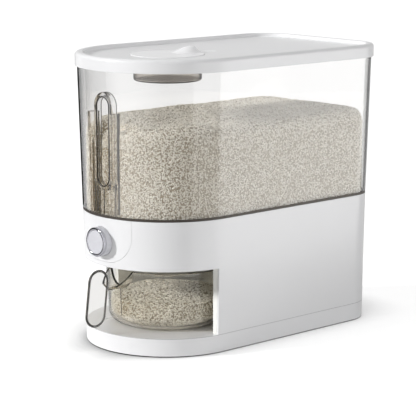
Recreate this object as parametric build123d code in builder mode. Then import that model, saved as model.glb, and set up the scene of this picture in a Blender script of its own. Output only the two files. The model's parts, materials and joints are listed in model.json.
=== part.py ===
from build123d import *
import math
import os

# Rice storage container: a clear D-shaped bin on a white base. A push button in the base opens a
# slotted shutter under the bin, and rice drops into a clear cup that pulls out at the front.
# Millimetres, +Z up, front towards -Y, origin on the table under the middle of the outline.

# Driving dimensions: outline in plan
base_half_width = 100.0
base_back = 254.0
base_corner = 40.0
base_side_draft = 3.0
bin_lean = 4.5
lid_overhang = 2.5

# Driving dimensions: heights, from the table upwards
foot_reach = 1.5
plinth_top = 22.0
cup_height = 69.7
cup_headroom = 8.0
button_rise = 29.0
button_headroom = 28.0
bin_height = 167.0
lid_height = 15.5

# Walls and fits
housing_wall = 2.8
bin_wall = 3.0
seam = 0.25
sliding_gap = 0.3
guide_fit = 0.05
cut_overrun = 5.0

# Lid
lid_border = 10.0
lid_recess = 4.5
lid_panel = 3.0
lid_skirt_wall = 2.0
lid_edge_round = 4.0
lid_recess_round = 2.0
plug_depth = 5.0
plug_wall = 2.0
plug_gap = 0.8
lid_seal_thickness = 2.0

# Desiccant cup and its cap, both round and concentric with the front of the lid
desiccant_radius = 39.6
desiccant_wall = 1.8
desiccant_depth = 27.0
desiccant_floor = 2.0
desiccant_round = 3.0
desiccant_flange = 3.4
desiccant_flange_thickness = 1.5
collar_wall = 3.0
collar_depth = 4.0
cap_seal_thickness = 0.6
cap_seal_width = 2.6
cap_proud = 0.6
cap_plug_depth = 5.5
cap_plug_wall = 2.0
tab_overhang = 4.0
tab_length = 38.0
tab_peak_from_back = 10.0
tab_half_width = 15.0
tab_height = 7.0
tab_height_shares = (0.0, 0.15, 0.4, 0.75, 1.0)
tab_size_shares = (1.0, 0.86, 0.68, 0.46, 0.18)
scoop_from_tab = 10.0
scoop_radius = 60.0
scoop_depth = 1.6

# Bin
bin_foot_height = 4.0
spigot_depth = 6.0
spigot_wall = 1.8
bin_seal_thickness = 1.5

# Clear loop and its two rails on the inside of the bin's front wall
loop_width = 32.0
loop_height = 112.0
loop_rise = 26.0
loop_bar = 4.5
loop_depth = 8.0
loop_wall_gap = 2.5
loop_bar_round = 1.4
tongue_reach = 1.7
tongue_thickness = 2.0
tongue_setback = 2.4
tongue_lap = 9.0
tongue_rib = 2.5
tongue_rib_spacing = 14.0
rail_clearance = 0.3
rail_width = 4.5
rail_depth = 9.0
rail_height = 115.0
rail_head = 24.0
rail_head_step = 1.0
rail_groove_gap = 0.3

# Hopper floor under the bin
hopper_ledge = 3.0
hopper_ledge_width = 5.0
hopper_flange = 2.5
hopper_wall = 2.5
mouth_setback = 22.0
throat_inset = 74.0
throat_side = 2.0
throat_back = 24.0
throat_corner = 6.0

# Shutter valve between the hopper's throat and the cup's bay
bay_ceiling = 2.5
valve_floor = 2.5
slide_thickness = 4.0
valve_lid = 4.0
valve_side = 8.0
valve_end = 7.0
slide_side = 6.0
slot_width = 40.0
slot_length = 8.0
slot_pitch = 17.0
slot_count = 3
button_travel = 8.5
slide_tail = 6.0
spout_wall = 2.0
spout_drop = 5.0
spout_flange = 2.0
spout_flange_thickness = 1.2

# Push button
button_radius = 17.0
button_proud = 8.5
cap_wall = 2.2
cap_depth = 13.5
ring_width = 3.4
ring_depth = 3.0
ring_proud = 0.5
ring_round = 1.4
dish_depth = 1.2
stem_radius = 4.0
clip_thickness = 1.0
clip_radius = 7.0
arm_thickness = 4.0
arm_half_width = 8.0
guide_thickness = 2.5
guide_inset = 14.5
guide_margin = 13.5
guide_foot_length = 6.0
guide_corner = 12.0
spring_radius = 9.0
spring_wire = 1.2
spring_turns = 5
panel_half_width = 42.5
panel_drop = 23.0
panel_corner = 32.0

# Cup bay
bay_side = 12.0
bay_wall = 2.5
bay_front = 8.0
bay_round_setback = 12.0

# Base tray, feet and fasteners
tray_deck = 2.5
tray_rib = 2.0
tray_rib_depth = 12.0
tray_rib_count = 6
plate_thickness = 2.5
foot_radius = 8.0
foot_pocket = 1.2
foot_front_inset = 14.4
foot_front_angle = 52.6
foot_back_margin = 42.0
foot_side_margin = 32.0
screw_shaft_radius = 1.5
screw_head_radius = 3.2
screw_head_height = 2.0
screw_fit = 0.05
post_radius = 5.5
post_height = 30.0
post_wall_lap = 1.0
tray_boss_bottom = 8.0
tray_screw_shares = (0.24, 0.77)
valve_screw_margin = 4.5

# Cup and its handle
cup_side_gap = 14.0
cup_flare = 3.0
cup_wall = 2.6
cup_floor = 3.0
cup_round = 14.0
cup_lip = 2.0
cup_lip_height = 3.2
cup_lip_round = 0.9
rest_radius = 19.0
rest_wall = 2.6
rest_gap = 1.2
rest_set = 3.0
rest_fall = 16.5
grip_width = 29.0
grip_standoff = 16.3
grip_clearance = 7.0
grip_top_gap = 3.8
grip_lean = 7.0
grip_plate = 2.0
grip_bead = 1.6
web_rise = 8.0

# Levels that follow from the heights
cup_bottom = plinth_top + sliding_gap
cup_rim_height = cup_bottom + cup_height
opening_top = cup_rim_height + cup_headroom
button_height = opening_top + button_rise
base_top = button_height + button_headroom
skirt_bottom = base_top + bin_height
lid_top = skirt_bottom + lid_height
lid_panel_top = lid_top - lid_recess
lid_panel_bottom = lid_panel_top - lid_panel
bin_top = lid_panel_bottom - lid_seal_thickness
bin_floor = base_top + bin_foot_height
spigot_bottom = base_top - spigot_depth
hopper_top = spigot_bottom - bin_seal_thickness
hopper_flange_bottom = hopper_top - hopper_flange
bay_top = opening_top + bay_ceiling
slide_bottom = bay_top + valve_floor + guide_fit
slide_top = slide_bottom + slide_thickness
valve_top = slide_top + guide_fit + valve_lid
panel_bottom = button_height - panel_drop
guide_height = button_height + guide_margin - bay_top
cap_floor = lid_panel_bottom - collar_depth + collar_wall
flange_top = cap_floor + desiccant_flange_thickness
desiccant_bottom = flange_top - desiccant_depth
cap_bottom = flange_top + cap_seal_thickness
cap_top = lid_panel_top + cap_proud
loop_bottom = bin_floor + loop_rise
rail_top = bin_floor + rail_height
screw_seat = tray_boss_bottom - screw_head_height
grip_bottom = plinth_top + grip_clearance
web_bottom = grip_bottom + web_rise
rest_tip_height = cup_rim_height - rest_fall

# Plan sizes that follow: the cup fits its bay, and the grip stands off from the cup
bay_half_width = base_half_width - bay_side
cup_rim_radius = bay_half_width - cup_side_gap
cup_floor_radius = cup_rim_radius - cup_flare
grip_lean_angle = math.radians(grip_lean)
grip_run = (opening_top - grip_top_gap - grip_bottom - grip_width) / math.cos(grip_lean_angle)
grip_depth = grip_width + grip_run * math.sin(grip_lean_angle)
handle_reach = cup_rim_radius + grip_standoff + grip_depth
rest_reach = cup_rim_radius + grip_standoff - rest_gap
rest_root = cup_rim_radius - rest_set
slide_half_width = slot_width / 2 + slide_side
valve_half_width = slide_half_width + valve_side
guide_half_width = slide_half_width
spout_length = (slot_count - 1) * slot_pitch + slot_length + 2 * spout_wall
valve_half_length = spout_length / 2 + valve_end
throat_half_width = slot_width / 2 + throat_side
throat_setback = base_half_width - throat_inset
mouth_inset = housing_wall / 2 + hopper_ledge_width + hopper_wall + sliding_gap
spigot_half_width = base_half_width - housing_wall - sliding_gap
spigot_back = base_back - housing_wall - sliding_gap
spigot_corner = base_corner - housing_wall - sliding_gap
rail_inner = loop_width / 2 + rail_clearance
rail_outer = rail_inner + rail_width
tongue_half_width = rail_inner + tongue_reach
cap_radius = desiccant_radius + desiccant_flange
tab_back_setback = cap_radius + tab_overhang
tab_front_setback = tab_back_setback - tab_length
tab_peak_setback = tab_back_setback - tab_peak_from_back
scoop_setback = tab_back_setback + scoop_from_tab

# Places along Y: arc_y is the axis of every round front, put so that the outline is centred
lid_back = base_back + bin_lean + lid_overhang
arc_y = (handle_reach - lid_back) / 2
throat_y = arc_y - throat_setback
valve_y = throat_y + (throat_back - throat_half_width) / 2
button_front = arc_y - base_half_width - button_proud
spring_front = button_front + ring_depth + cap_wall
guide_front = arc_y - base_half_width + guide_inset
guide_back = guide_front + guide_thickness
arm_front = guide_back + clip_thickness
loop_front = arc_y - base_half_width + bin_wall + loop_wall_gap
tongue_front = loop_front + tongue_setback
grip_y = arc_y - handle_reach + grip_depth / 2
grip_z = (opening_top - grip_top_gap + grip_bottom) / 2


def d_outline(half_width, back, corner, setback=0.0, mode=Mode.ADD):
    """Draws a D in the open sketch: half round in front, straight sides, rounded back corners."""
    front = arc_y + setback
    rear = arc_y + back
    with BuildLine() as outline:
        CenterArc((0, front), half_width, 180, 180)
        Line((half_width, front), (half_width, rear - corner))
        CenterArc((half_width - corner, rear - corner), corner, 0, 90)
        Line((half_width - corner, rear), (corner - half_width, rear))
        CenterArc((corner - half_width, rear - corner), corner, 90, 90)
        Line((-half_width, rear - corner), (-half_width, front))
    make_face(outline.edges(), mode=mode)


def base_section(height, inset=0.0):
    """One D section of the base at a height; the sides lean in towards the table."""
    lean = base_side_draft * (base_top - height) / base_top
    with BuildSketch(Plane.XY.offset(height)) as section:
        d_outline(base_half_width - lean - inset, base_back - inset, base_corner - inset)
    return section.sketch


def bin_section(height, inset=0.0):
    """One D section of the bin at a height; the walls lean out towards the lid."""
    lean = bin_lean * (height - base_top) / (skirt_bottom - base_top) - inset
    with BuildSketch(Plane.XY.offset(height)) as section:
        d_outline(base_half_width + lean, base_back + lean, base_corner + lean)
    return section.sketch


def base_form(low, high, inset=0.0, mode=Mode.ADD):
    """The base's drafted form between two levels."""
    loft([base_section(low, inset), base_section(high, inset)], ruled=True, mode=mode)


def bin_form(low, high, inset=0.0, mode=Mode.ADD):
    """The bin's drafted form between two levels."""
    loft([bin_section(low, inset), bin_section(high, inset)], ruled=True, mode=mode)


def lid_section(height, inset=0.0):
    """One D section of the lid, which stands over the top of the bin all round."""
    grow = bin_lean + lid_overhang - inset
    with BuildSketch(Plane.XY.offset(height)) as section:
        d_outline(base_half_width + grow, base_back + grow, base_corner + grow)
    return section.sketch


def d_ring(height, half_width, back, corner, width):
    """A flat D-shaped ring, drawn as a face at a height."""
    with BuildSketch(Plane.XY.offset(height)) as ring:
        d_outline(half_width, back, corner)
        d_outline(half_width - width, back - width, corner - width, mode=Mode.SUBTRACT)
    return ring.sketch


def panel_profile(grow=0.0):
    """The U-shaped outline of the button panel, seen from the front, open towards the bin."""
    half = panel_half_width + grow
    low = panel_bottom - grow
    radius = panel_corner + grow
    with BuildSketch(Plane.XZ.offset(-arc_y)) as profile:
        with BuildLine():
            Line((half, base_top + cut_overrun), (half, low + radius))
            CenterArc((half - radius, low + radius), radius, 0, -90)
            Line((half - radius, low), (radius - half, low))
            CenterArc((radius - half, low + radius), radius, -90, -90)
            Line((-half, low + radius), (-half, base_top + cut_overrun))
            Line((-half, base_top + cut_overrun), (half, base_top + cut_overrun))
        make_face()
    return profile.sketch


os.makedirs("parts", exist_ok=True)
button_axis = Axis((0, 0, button_height), (0, 1, 0))
cup_axis = Axis((0, arc_y, 0), (0, 0, 1))
screw_side = base_half_width - base_side_draft - housing_wall - post_radius + post_wall_lap
tray_screw_places = [
    (side * screw_side, arc_y + base_back * share) for share in tray_screw_shares for side in (-1, 1)
]
foot_circle = base_half_width - foot_front_inset
foot_turn = math.radians(foot_front_angle)
foot_places = [
    (side * x, y)
    for x, y in (
        (foot_circle * math.sin(foot_turn), arc_y - foot_circle * math.cos(foot_turn)),
        (base_half_width - foot_side_margin, arc_y + base_back - foot_back_margin),
    )
    for side in (-1, 1)
]
valve_screw_places = [
    (side * (valve_half_width - valve_screw_margin), valve_y + end * (valve_half_length - valve_screw_margin))
    for end in (-1, 1)
    for side in (-1, 1)
]

# Base housing: one drafted shell, open in front below the button, with the seat for the button panel
with BuildPart() as base_housing:
    base_form(plinth_top, base_top)
    base_form(plinth_top - cut_overrun, base_top + cut_overrun, housing_wall, mode=Mode.SUBTRACT)
    extrude(
        d_ring(
            hopper_flange_bottom - hopper_ledge,
            base_half_width - housing_wall / 2,
            base_back - housing_wall / 2,
            base_corner - housing_wall / 2,
            hopper_ledge_width,
        ),
        amount=hopper_ledge,
    )
    with Locations(*[(x, y, plinth_top) for x, y in tray_screw_places]):
        Cylinder(post_radius, post_height, align=(Align.CENTER, Align.CENTER, Align.MIN))
        Cylinder(
            screw_shaft_radius + screw_fit,
            post_height - housing_wall,
            align=(Align.CENTER, Align.CENTER, Align.MIN),
            mode=Mode.SUBTRACT,
        )
    with BuildSketch(Plane.XY.offset(plinth_top)):
        with Locations((0, arc_y - bay_front)):
            Rectangle(4 * base_half_width, 2 * base_half_width, align=(Align.CENTER, Align.MAX))
    extrude(amount=opening_top - plinth_top, mode=Mode.SUBTRACT)
    extrude(panel_profile(seam), amount=2 * base_half_width, mode=Mode.SUBTRACT)
base_housing.part.label = "base_housing"
export_step(base_housing.part, "parts/base_housing.step")

# Button panel: the piece of the same drafted wall that fills the U, with the button's hole
with BuildPart() as button_panel:
    base_form(panel_bottom - cut_overrun, base_top)
    base_form(panel_bottom - 2 * cut_overrun, base_top + cut_overrun, housing_wall, mode=Mode.SUBTRACT)
    extrude(panel_profile(), amount=2 * base_half_width, mode=Mode.INTERSECT)
    with BuildSketch(Plane.XZ.offset(-arc_y)):
        with Locations((0, button_height)):
            Circle(button_radius + sliding_gap)
    extrude(amount=2 * base_half_width, mode=Mode.SUBTRACT)
button_panel.part.label = "button_panel"
export_step(button_panel.part, "parts/button_panel.step")

# Base tray: the plinth, hollow and ribbed from below, whose deck is the floor under the cup
with BuildPart() as base_tray:
    base_form(foot_reach, plinth_top)
    base_form(foot_reach - cut_overrun, plinth_top - tray_deck, housing_wall, mode=Mode.SUBTRACT)
    rib_length = 2 * (base_half_width - base_side_draft - housing_wall / 2)
    rib_pitch = base_back / tray_rib_count
    with BuildSketch(Plane.XY.offset(plinth_top - tray_deck)):
        with Locations(*[(0, arc_y + rib_pitch * i) for i in range(tray_rib_count)]):
            Rectangle(rib_length, tray_rib)
        with Locations((0, arc_y)):
            Rectangle(tray_rib, base_back - housing_wall / 2, align=(Align.CENTER, Align.MIN))
    extrude(amount=-tray_rib_depth)
    with Locations(*[(x, y, plinth_top) for x, y in tray_screw_places]):
        Cylinder(post_radius, plinth_top - tray_boss_bottom, align=(Align.CENTER, Align.CENTER, Align.MAX))
        Cylinder(
            screw_shaft_radius + screw_fit,
            plinth_top,
            align=(Align.CENTER, Align.CENTER, Align.MAX),
            mode=Mode.SUBTRACT,
        )
base_tray.part.label = "base_tray"
export_step(base_tray.part, "parts/base_tray.step")

# Bottom plate: closes the tray from below, with bosses for the screws and pockets for the feet
with BuildPart() as bottom_plate:
    plate_section = base_section(foot_reach, housing_wall + seam)
    extrude(plate_section, amount=plate_thickness)
    with Locations(*[(x, y, foot_reach) for x, y in tray_screw_places]):
        Cylinder(post_radius, tray_boss_bottom - foot_reach, align=(Align.CENTER, Align.CENTER, Align.MIN))
    extrude(plate_section, amount=tray_boss_bottom - foot_reach, mode=Mode.INTERSECT)
    with Locations(*[(x, y, foot_reach) for x, y in tray_screw_places]):
        Cylinder(screw_shaft_radius + screw_fit, 2 * plinth_top, mode=Mode.SUBTRACT)
        Cylinder(
            screw_head_radius + screw_fit,
            screw_seat - foot_reach,
            align=(Align.CENTER, Align.CENTER, Align.MIN),
            mode=Mode.SUBTRACT,
        )
    with Locations(*[(x, y, foot_reach) for x, y in foot_places]):
        Cylinder(foot_radius + guide_fit, 2 * foot_pocket, mode=Mode.SUBTRACT)
bottom_plate.part.label = "bottom_plate"
export_step(bottom_plate.part, "parts/bottom_plate.step")

# Rubber feet, stuck in round pockets under the bottom plate
with BuildPart() as rubber_feet:
    with Locations(*[(x, y, 0) for x, y in foot_places]):
        Cylinder(foot_radius, foot_reach + foot_pocket, align=(Align.CENTER, Align.CENTER, Align.MIN))
    chamfer(rubber_feet.edges().group_by(Axis.Z)[0], foot_reach / 3)
rubber_feet.part.label = "rubber_feet"
export_step(rubber_feet.part, "parts/rubber_feet.step")

# Screws that hold the bottom plate and the tray to the housing's posts, driven from below
with BuildPart() as tray_screws:
    with Locations(*[(x, y, screw_seat) for x, y in tray_screw_places]):
        Cylinder(screw_head_radius, screw_head_height, align=(Align.CENTER, Align.CENTER, Align.MAX))
        Cylinder(screw_shaft_radius, post_height, align=(Align.CENTER, Align.CENTER, Align.MIN))
tray_screws.part.label = "tray_screws"
export_step(tray_screws.part, "parts/tray_screws.step")

# Cup bay: the liner of the cup's space with its ceiling, carved from the room inside the housing
with BuildPart() as cup_bay:
    base_form(plinth_top, bay_top, housing_wall + seam)
    outer = bay_half_width + bay_wall
    round_y = arc_y + bay_round_setback
    with BuildSketch(Plane.XY.offset(plinth_top)):
        with Locations((0, round_y)):
            Circle(bay_half_width)
            Rectangle(2 * bay_half_width, 2 * base_half_width, align=(Align.CENTER, Align.MAX))
        with Locations((0, arc_y - bay_front)):
            Rectangle(4 * base_half_width, 2 * base_half_width, align=(Align.CENTER, Align.MAX))
    extrude(amount=opening_top - plinth_top, mode=Mode.SUBTRACT)
    with BuildSketch(Plane.XY.offset(plinth_top)):
        with Locations((0, arc_y - bay_front + bay_wall)):
            Rectangle(4 * base_half_width, 2 * base_back, align=(Align.CENTER, Align.MIN))
        with Locations((0, round_y)):
            Circle(outer, mode=Mode.SUBTRACT)
            Rectangle(2 * outer, 2 * base_half_width, align=(Align.CENTER, Align.MAX), mode=Mode.SUBTRACT)
    extrude(amount=opening_top - plinth_top, mode=Mode.SUBTRACT)
    with BuildSketch(Plane.XY.offset(plinth_top)):
        with Locations((0, round_y + outer)):
            Rectangle(4 * base_half_width, 2 * base_back, align=(Align.CENTER, Align.MIN))
    extrude(amount=bay_top - plinth_top, mode=Mode.SUBTRACT)
    with Locations((0, valve_y, bay_top)):
        Box(
            slot_width + 2 * spout_wall + 2 * guide_fit,
            spout_length + 2 * guide_fit,
            4 * bay_ceiling,
            mode=Mode.SUBTRACT,
        )
        Box(
            slot_width + 2 * (spout_wall + spout_flange + guide_fit),
            spout_length + 2 * (spout_flange + guide_fit),
            2 * spout_flange_thickness,
            mode=Mode.SUBTRACT,
        )
    with Locations(*[(x, y, bay_top) for x, y in valve_screw_places]):
        Cylinder(screw_shaft_radius + screw_fit, 4 * bay_ceiling, mode=Mode.SUBTRACT)
cup_bay.part.label = "cup_bay"
export_step(cup_bay.part, "parts/cup_bay.step")

# Outlet spout: a short square tube let into the bay's ceiling under the shutter
with BuildPart() as outlet_spout:
    with BuildSketch(Plane.XY.offset(bay_top)):
        with Locations((0, valve_y)):
            Rectangle(slot_width + 2 * (spout_wall + spout_flange), spout_length + 2 * spout_flange)
    extrude(amount=-spout_flange_thickness)
    with BuildSketch(Plane.XY.offset(bay_top)):
        with Locations((0, valve_y)):
            Rectangle(slot_width + 2 * spout_wall, spout_length)
    extrude(amount=-bay_ceiling - spout_drop)
    with BuildSketch(Plane.XY.offset(bay_top)):
        with Locations((0, valve_y)):
            Rectangle(slot_width, spout_length - 2 * spout_wall)
    extrude(amount=-bay_ceiling - spout_drop, mode=Mode.SUBTRACT)
outlet_spout.part.label = "outlet_spout"
export_step(outlet_spout.part, "parts/outlet_spout.step")

# Valve body: a flat guide for the shutter, with the throat above it and three slots below
with BuildPart() as valve_body:
    with BuildSketch(Plane.XY.offset(bay_top)):
        with Locations((0, valve_y)):
            Rectangle(2 * valve_half_width, 2 * valve_half_length)
    extrude(amount=valve_top - bay_top)
    with BuildSketch(Plane.XY.offset(bay_top + valve_floor)):
        with Locations((0, valve_y)):
            Rectangle(2 * (slide_half_width + guide_fit), 4 * valve_half_length)
    extrude(amount=slide_thickness + 2 * guide_fit, mode=Mode.SUBTRACT)
    with BuildSketch(Plane.XY.offset(bay_top)):
        with Locations((0, valve_y)):
            with GridLocations(0, slot_pitch, 1, slot_count):
                Rectangle(slot_width, slot_length)
    extrude(amount=valve_floor, mode=Mode.SUBTRACT)
    with BuildSketch(Plane.XY.offset(slide_top)):
        d_outline(throat_half_width, throat_y - arc_y + throat_back, throat_corner, throat_y - arc_y)
    extrude(amount=2 * valve_lid, mode=Mode.SUBTRACT)
    with Locations(*[(x, y, valve_top) for x, y in valve_screw_places]):
        Cylinder(screw_shaft_radius + screw_fit, 4 * (valve_top - bay_top), mode=Mode.SUBTRACT)
        Cylinder(screw_head_radius + screw_fit, 2 * screw_head_height, mode=Mode.SUBTRACT)
valve_body.part.label = "valve_body"
export_step(valve_body.part, "parts/valve_body.step")

# Screws that hold the valve body on the bay's ceiling, with sunk heads
with BuildPart() as valve_screws:
    with Locations(*[(x, y, valve_top) for x, y in valve_screw_places]):
        Cylinder(screw_head_radius, screw_head_height, align=(Align.CENTER, Align.CENTER, Align.MAX))
        Cylinder(screw_shaft_radius, valve_top - opening_top, align=(Align.CENTER, Align.CENTER, Align.MAX))
valve_screws.part.label = "valve_screws"
export_step(valve_screws.part, "parts/valve_screws.step")

# Shutter slide: a slotted plate that the button pushes back, with an arm up to the button's stem
with BuildPart() as shutter_slide:
    slide_back = valve_y + valve_half_length - slide_tail
    with BuildSketch(Plane.XY.offset(slide_bottom)):
        with Locations((0, arm_front)):
            Rectangle(2 * slide_half_width, slide_back - arm_front, align=(Align.CENTER, Align.MIN))
        with Locations((0, valve_y - button_travel)):
            with GridLocations(0, slot_pitch, 1, slot_count):
                Rectangle(slot_width, slot_length, mode=Mode.SUBTRACT)
    extrude(amount=slide_thickness)
    with BuildSketch(Plane.XZ.offset(-arm_front)):
        with BuildLine():
            Line((-slide_half_width, slide_bottom), (slide_half_width, slide_bottom))
            Line((slide_half_width, slide_bottom), (slide_half_width, slide_top))
            Line((slide_half_width, slide_top), (arm_half_width, button_height))
            CenterArc((0, button_height), arm_half_width, 0, 180)
            Line((-arm_half_width, button_height), (-slide_half_width, slide_top))
            Line((-slide_half_width, slide_top), (-slide_half_width, slide_bottom))
        make_face()
    extrude(amount=-arm_thickness)
    with BuildSketch(Plane.XZ.offset(-arm_front)):
        with Locations((0, button_height)):
            Circle(stem_radius + guide_fit)
    extrude(amount=-arm_thickness, mode=Mode.SUBTRACT)
shutter_slide.part.label = "shutter_slide"
export_step(shutter_slide.part, "parts/shutter_slide.step")

# Button guide: a bracket on the bay's ceiling that guides the stem and carries the spring
with BuildPart() as button_guide:
    with BuildSketch(Plane.XZ.offset(-guide_front)) as guide_plate:
        with Locations((0, bay_top)):
            Rectangle(2 * guide_half_width, guide_height, align=(Align.CENTER, Align.MIN))
        fillet(guide_plate.vertices().group_by(Axis.Y)[-1], guide_corner)
    extrude(amount=-guide_thickness)
    with BuildSketch(Plane.XY.offset(bay_top)):
        with Locations((0, guide_back)):
            Rectangle(
                2 * guide_half_width,
                guide_foot_length + guide_thickness,
                align=(Align.CENTER, Align.MAX),
            )
    extrude(amount=valve_floor)
    with BuildSketch(Plane.XZ.offset(-guide_front)):
        with Locations((0, button_height)):
            Circle(stem_radius + guide_fit)
    extrude(amount=-guide_thickness, mode=Mode.SUBTRACT)
button_guide.part.label = "button_guide"
export_step(button_guide.part, "parts/button_guide.step")

# Button cap: a hollow push cap with a dished face, stepped at its front edge for the ring
with BuildPart() as button_cap:
    face_edge = button_radius - ring_width - guide_fit
    with BuildSketch(Plane.XY.offset(button_height)):
        with BuildLine():
            TangentArc((0, button_front + dish_depth), (face_edge, button_front), tangent=(1, 0))
            Polyline(
                (face_edge, button_front),
                (face_edge, button_front + ring_depth + guide_fit),
                (button_radius, button_front + ring_depth + guide_fit),
                (button_radius, button_front + cap_depth),
                (button_radius - cap_wall, button_front + cap_depth),
                (button_radius - cap_wall, spring_front),
                (0, spring_front),
                (0, button_front + dish_depth),
            )
        make_face()
    revolve(axis=button_axis)
button_cap.part.label = "button_cap"
export_step(button_cap.part, "parts/button_cap.step")

# Button ring: the bright trim ring round the cap's face
with BuildPart() as button_ring:
    with BuildSketch(Plane.XY.offset(button_height)) as ring_profile:
        with Locations((button_radius - ring_width, button_front - ring_proud)):
            Rectangle(ring_width, ring_proud + ring_depth, align=(Align.MIN, Align.MIN))
        fillet(ring_profile.vertices().group_by(Axis.Y)[0], ring_round)
    revolve(axis=button_axis)
button_ring.part.label = "button_ring"
export_step(button_ring.part, "parts/button_ring.step")

# Button stem: the rod from the cap through the guide to the shutter's arm, with a collar in the cap
with BuildPart() as button_stem:
    with BuildSketch(Plane.XZ.offset(-spring_front)):
        with Locations((0, button_height)):
            Circle(stem_radius)
    extrude(amount=spring_front - arm_front - arm_thickness)
    with BuildSketch(Plane.XZ.offset(-spring_front)):
        with Locations((0, button_height)):
            Circle(clip_radius)
    extrude(amount=-clip_thickness)
button_stem.part.label = "button_stem"
export_step(button_stem.part, "parts/button_stem.step")

# Stem clip: the snap ring that stops the stem against the guide when the button is out
with BuildPart() as stem_clip:
    with BuildSketch(Plane.XZ.offset(-guide_back)):
        with Locations((0, button_height)):
            Circle(clip_radius)
            Circle(stem_radius + guide_fit, mode=Mode.SUBTRACT)
            Rectangle(2 * stem_radius, 2 * clip_radius, align=(Align.CENTER, Align.MAX), mode=Mode.SUBTRACT)
    extrude(amount=-clip_thickness)
stem_clip.part.label = "stem_clip"
export_step(stem_clip.part, "parts/stem_clip.step")


def coil_point(turn):
    """A point of the spring's centre line and the direction there, that many turns from its front end."""
    angle = 2 * math.pi * turn
    rise = (guide_front - spring_front - spring_wire) / spring_turns
    point = Vector(
        spring_radius * math.cos(angle),
        spring_front + spring_wire / 2 + rise * turn,
        button_height + spring_radius * math.sin(angle),
    )
    forward = Vector(
        -2 * math.pi * spring_radius * math.sin(angle),
        rise,
        2 * math.pi * spring_radius * math.cos(angle),
    )
    return point, forward.normalized()


# Return spring: a coil round the stem, between the cap and the guide, each quarter turn two tangent arcs
with BuildPart() as return_spring:
    with BuildLine():
        for quarter in range(4 * spring_turns):
            start, start_way = coil_point(quarter / 4)
            end, end_way = coil_point((quarter + 1) / 4)
            chord = end - start
            along = chord.dot(start_way + end_way)
            spread = 2 * (1 - start_way.dot(end_way))
            reach = (math.sqrt(along**2 + spread * chord.dot(chord)) - along) / spread
            middle = (start + start_way * reach + end - end_way * reach) / 2
            first_arc = TangentArc(start, middle, tangent=start_way)
            TangentArc(middle, end, tangent=first_arc % 1)
    coil_start, coil_way = coil_point(0)
    with BuildSketch(Plane(origin=coil_start, z_dir=coil_way)):
        Circle(spring_wire / 2)
    sweep()
return_spring.part.label = "return_spring"
export_step(return_spring.part, "parts/return_spring.step")

# Hopper floor: the bin's funnel, hung on the housing's ledge and standing on the valve body
with BuildPart() as hopper_floor:
    mouth = base_half_width - mouth_inset
    mouth_corner = base_corner - mouth_inset
    throat_rear = throat_back - throat_setback
    extrude(base_section(hopper_flange_bottom, housing_wall + seam), amount=hopper_flange)
    with BuildSketch(Plane.XY.offset(hopper_flange_bottom)):
        d_outline(
            mouth + hopper_wall,
            base_back - mouth_inset + hopper_wall,
            mouth_corner + hopper_wall,
            mouth_setback,
        )
    with BuildSketch(Plane.XY.offset(valve_top - hopper_wall)):
        d_outline(
            throat_half_width + hopper_wall,
            throat_rear + hopper_wall,
            throat_corner + hopper_wall,
            -throat_setback,
        )
    loft(ruled=True)
    with BuildSketch(Plane.XY.offset(valve_top)):
        Rectangle(4 * base_half_width, 4 * base_back)
    extrude(amount=-2 * hopper_wall, mode=Mode.SUBTRACT)
    with BuildSketch(Plane.XY.offset(hopper_top)):
        d_outline(mouth, base_back - mouth_inset, mouth_corner, mouth_setback)
    with BuildSketch(Plane.XY.offset(valve_top)):
        d_outline(throat_half_width, throat_rear, throat_corner, -throat_setback)
    loft(ruled=True, mode=Mode.SUBTRACT)
hopper_floor.part.label = "hopper_floor"
export_step(hopper_floor.part, "parts/hopper_floor.step")

# Bin seal: the flat ring between the hopper floor and the bin's spigot
with BuildPart() as bin_seal:
    seal_ring = d_ring(hopper_top, spigot_half_width, spigot_back, spigot_corner, spigot_wall)
    extrude(seal_ring, amount=bin_seal_thickness)
bin_seal.part.label = "bin_seal"
export_step(bin_seal.part, "parts/bin_seal.step")

# Grain bin: drafted clear walls, a thick foot on the base and a spigot inside the base's rim
with BuildPart() as grain_bin:
    bin_form(base_top, bin_top)
    with BuildSketch(Plane.XY.offset(spigot_bottom)):
        d_outline(spigot_half_width, spigot_back, spigot_corner)
    extrude(amount=spigot_depth)
    with BuildSketch(Plane.XY.offset(spigot_bottom)):
        d_outline(spigot_half_width - spigot_wall, spigot_back - spigot_wall, spigot_corner - spigot_wall)
    extrude(amount=spigot_depth + bin_foot_height, mode=Mode.SUBTRACT)
    bin_form(bin_floor, bin_top + cut_overrun, bin_wall, mode=Mode.SUBTRACT)
grain_bin.part.label = "grain_bin"
export_step(grain_bin.part, "parts/grain_bin.step")

# Loop rails: two clear grooved rails on the inside of the bin's front wall, with wider heads
with BuildPart() as loop_rails:
    bin_form(bin_floor, rail_top, bin_wall + guide_fit)
    rail_back = loop_front - loop_wall_gap + rail_depth
    with BuildSketch(Plane.XZ.offset(-rail_back)):
        for side in (-1, 1):
            with Locations((side * (rail_inner + rail_outer) / 2, bin_floor)):
                Rectangle(rail_outer - rail_inner, rail_top - bin_floor, align=(Align.CENTER, Align.MIN))
            with Locations((side * (rail_inner + rail_outer + rail_head_step) / 2, rail_top)):
                Rectangle(
                    rail_outer + rail_head_step - rail_inner,
                    rail_head,
                    align=(Align.CENTER, Align.MAX),
                )
    extrude(amount=2 * rail_depth, mode=Mode.INTERSECT)
    with BuildSketch(Plane.XY.offset(bin_floor)):
        with Locations((0, tongue_front + tongue_thickness / 2)):
            Rectangle(2 * (tongue_half_width + rail_groove_gap), tongue_thickness + 2 * rail_groove_gap)
    extrude(amount=rail_top - bin_floor, mode=Mode.SUBTRACT)
loop_rails.part.label = "loop_rails"
export_step(loop_rails.part, "parts/loop_rails.step")

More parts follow.
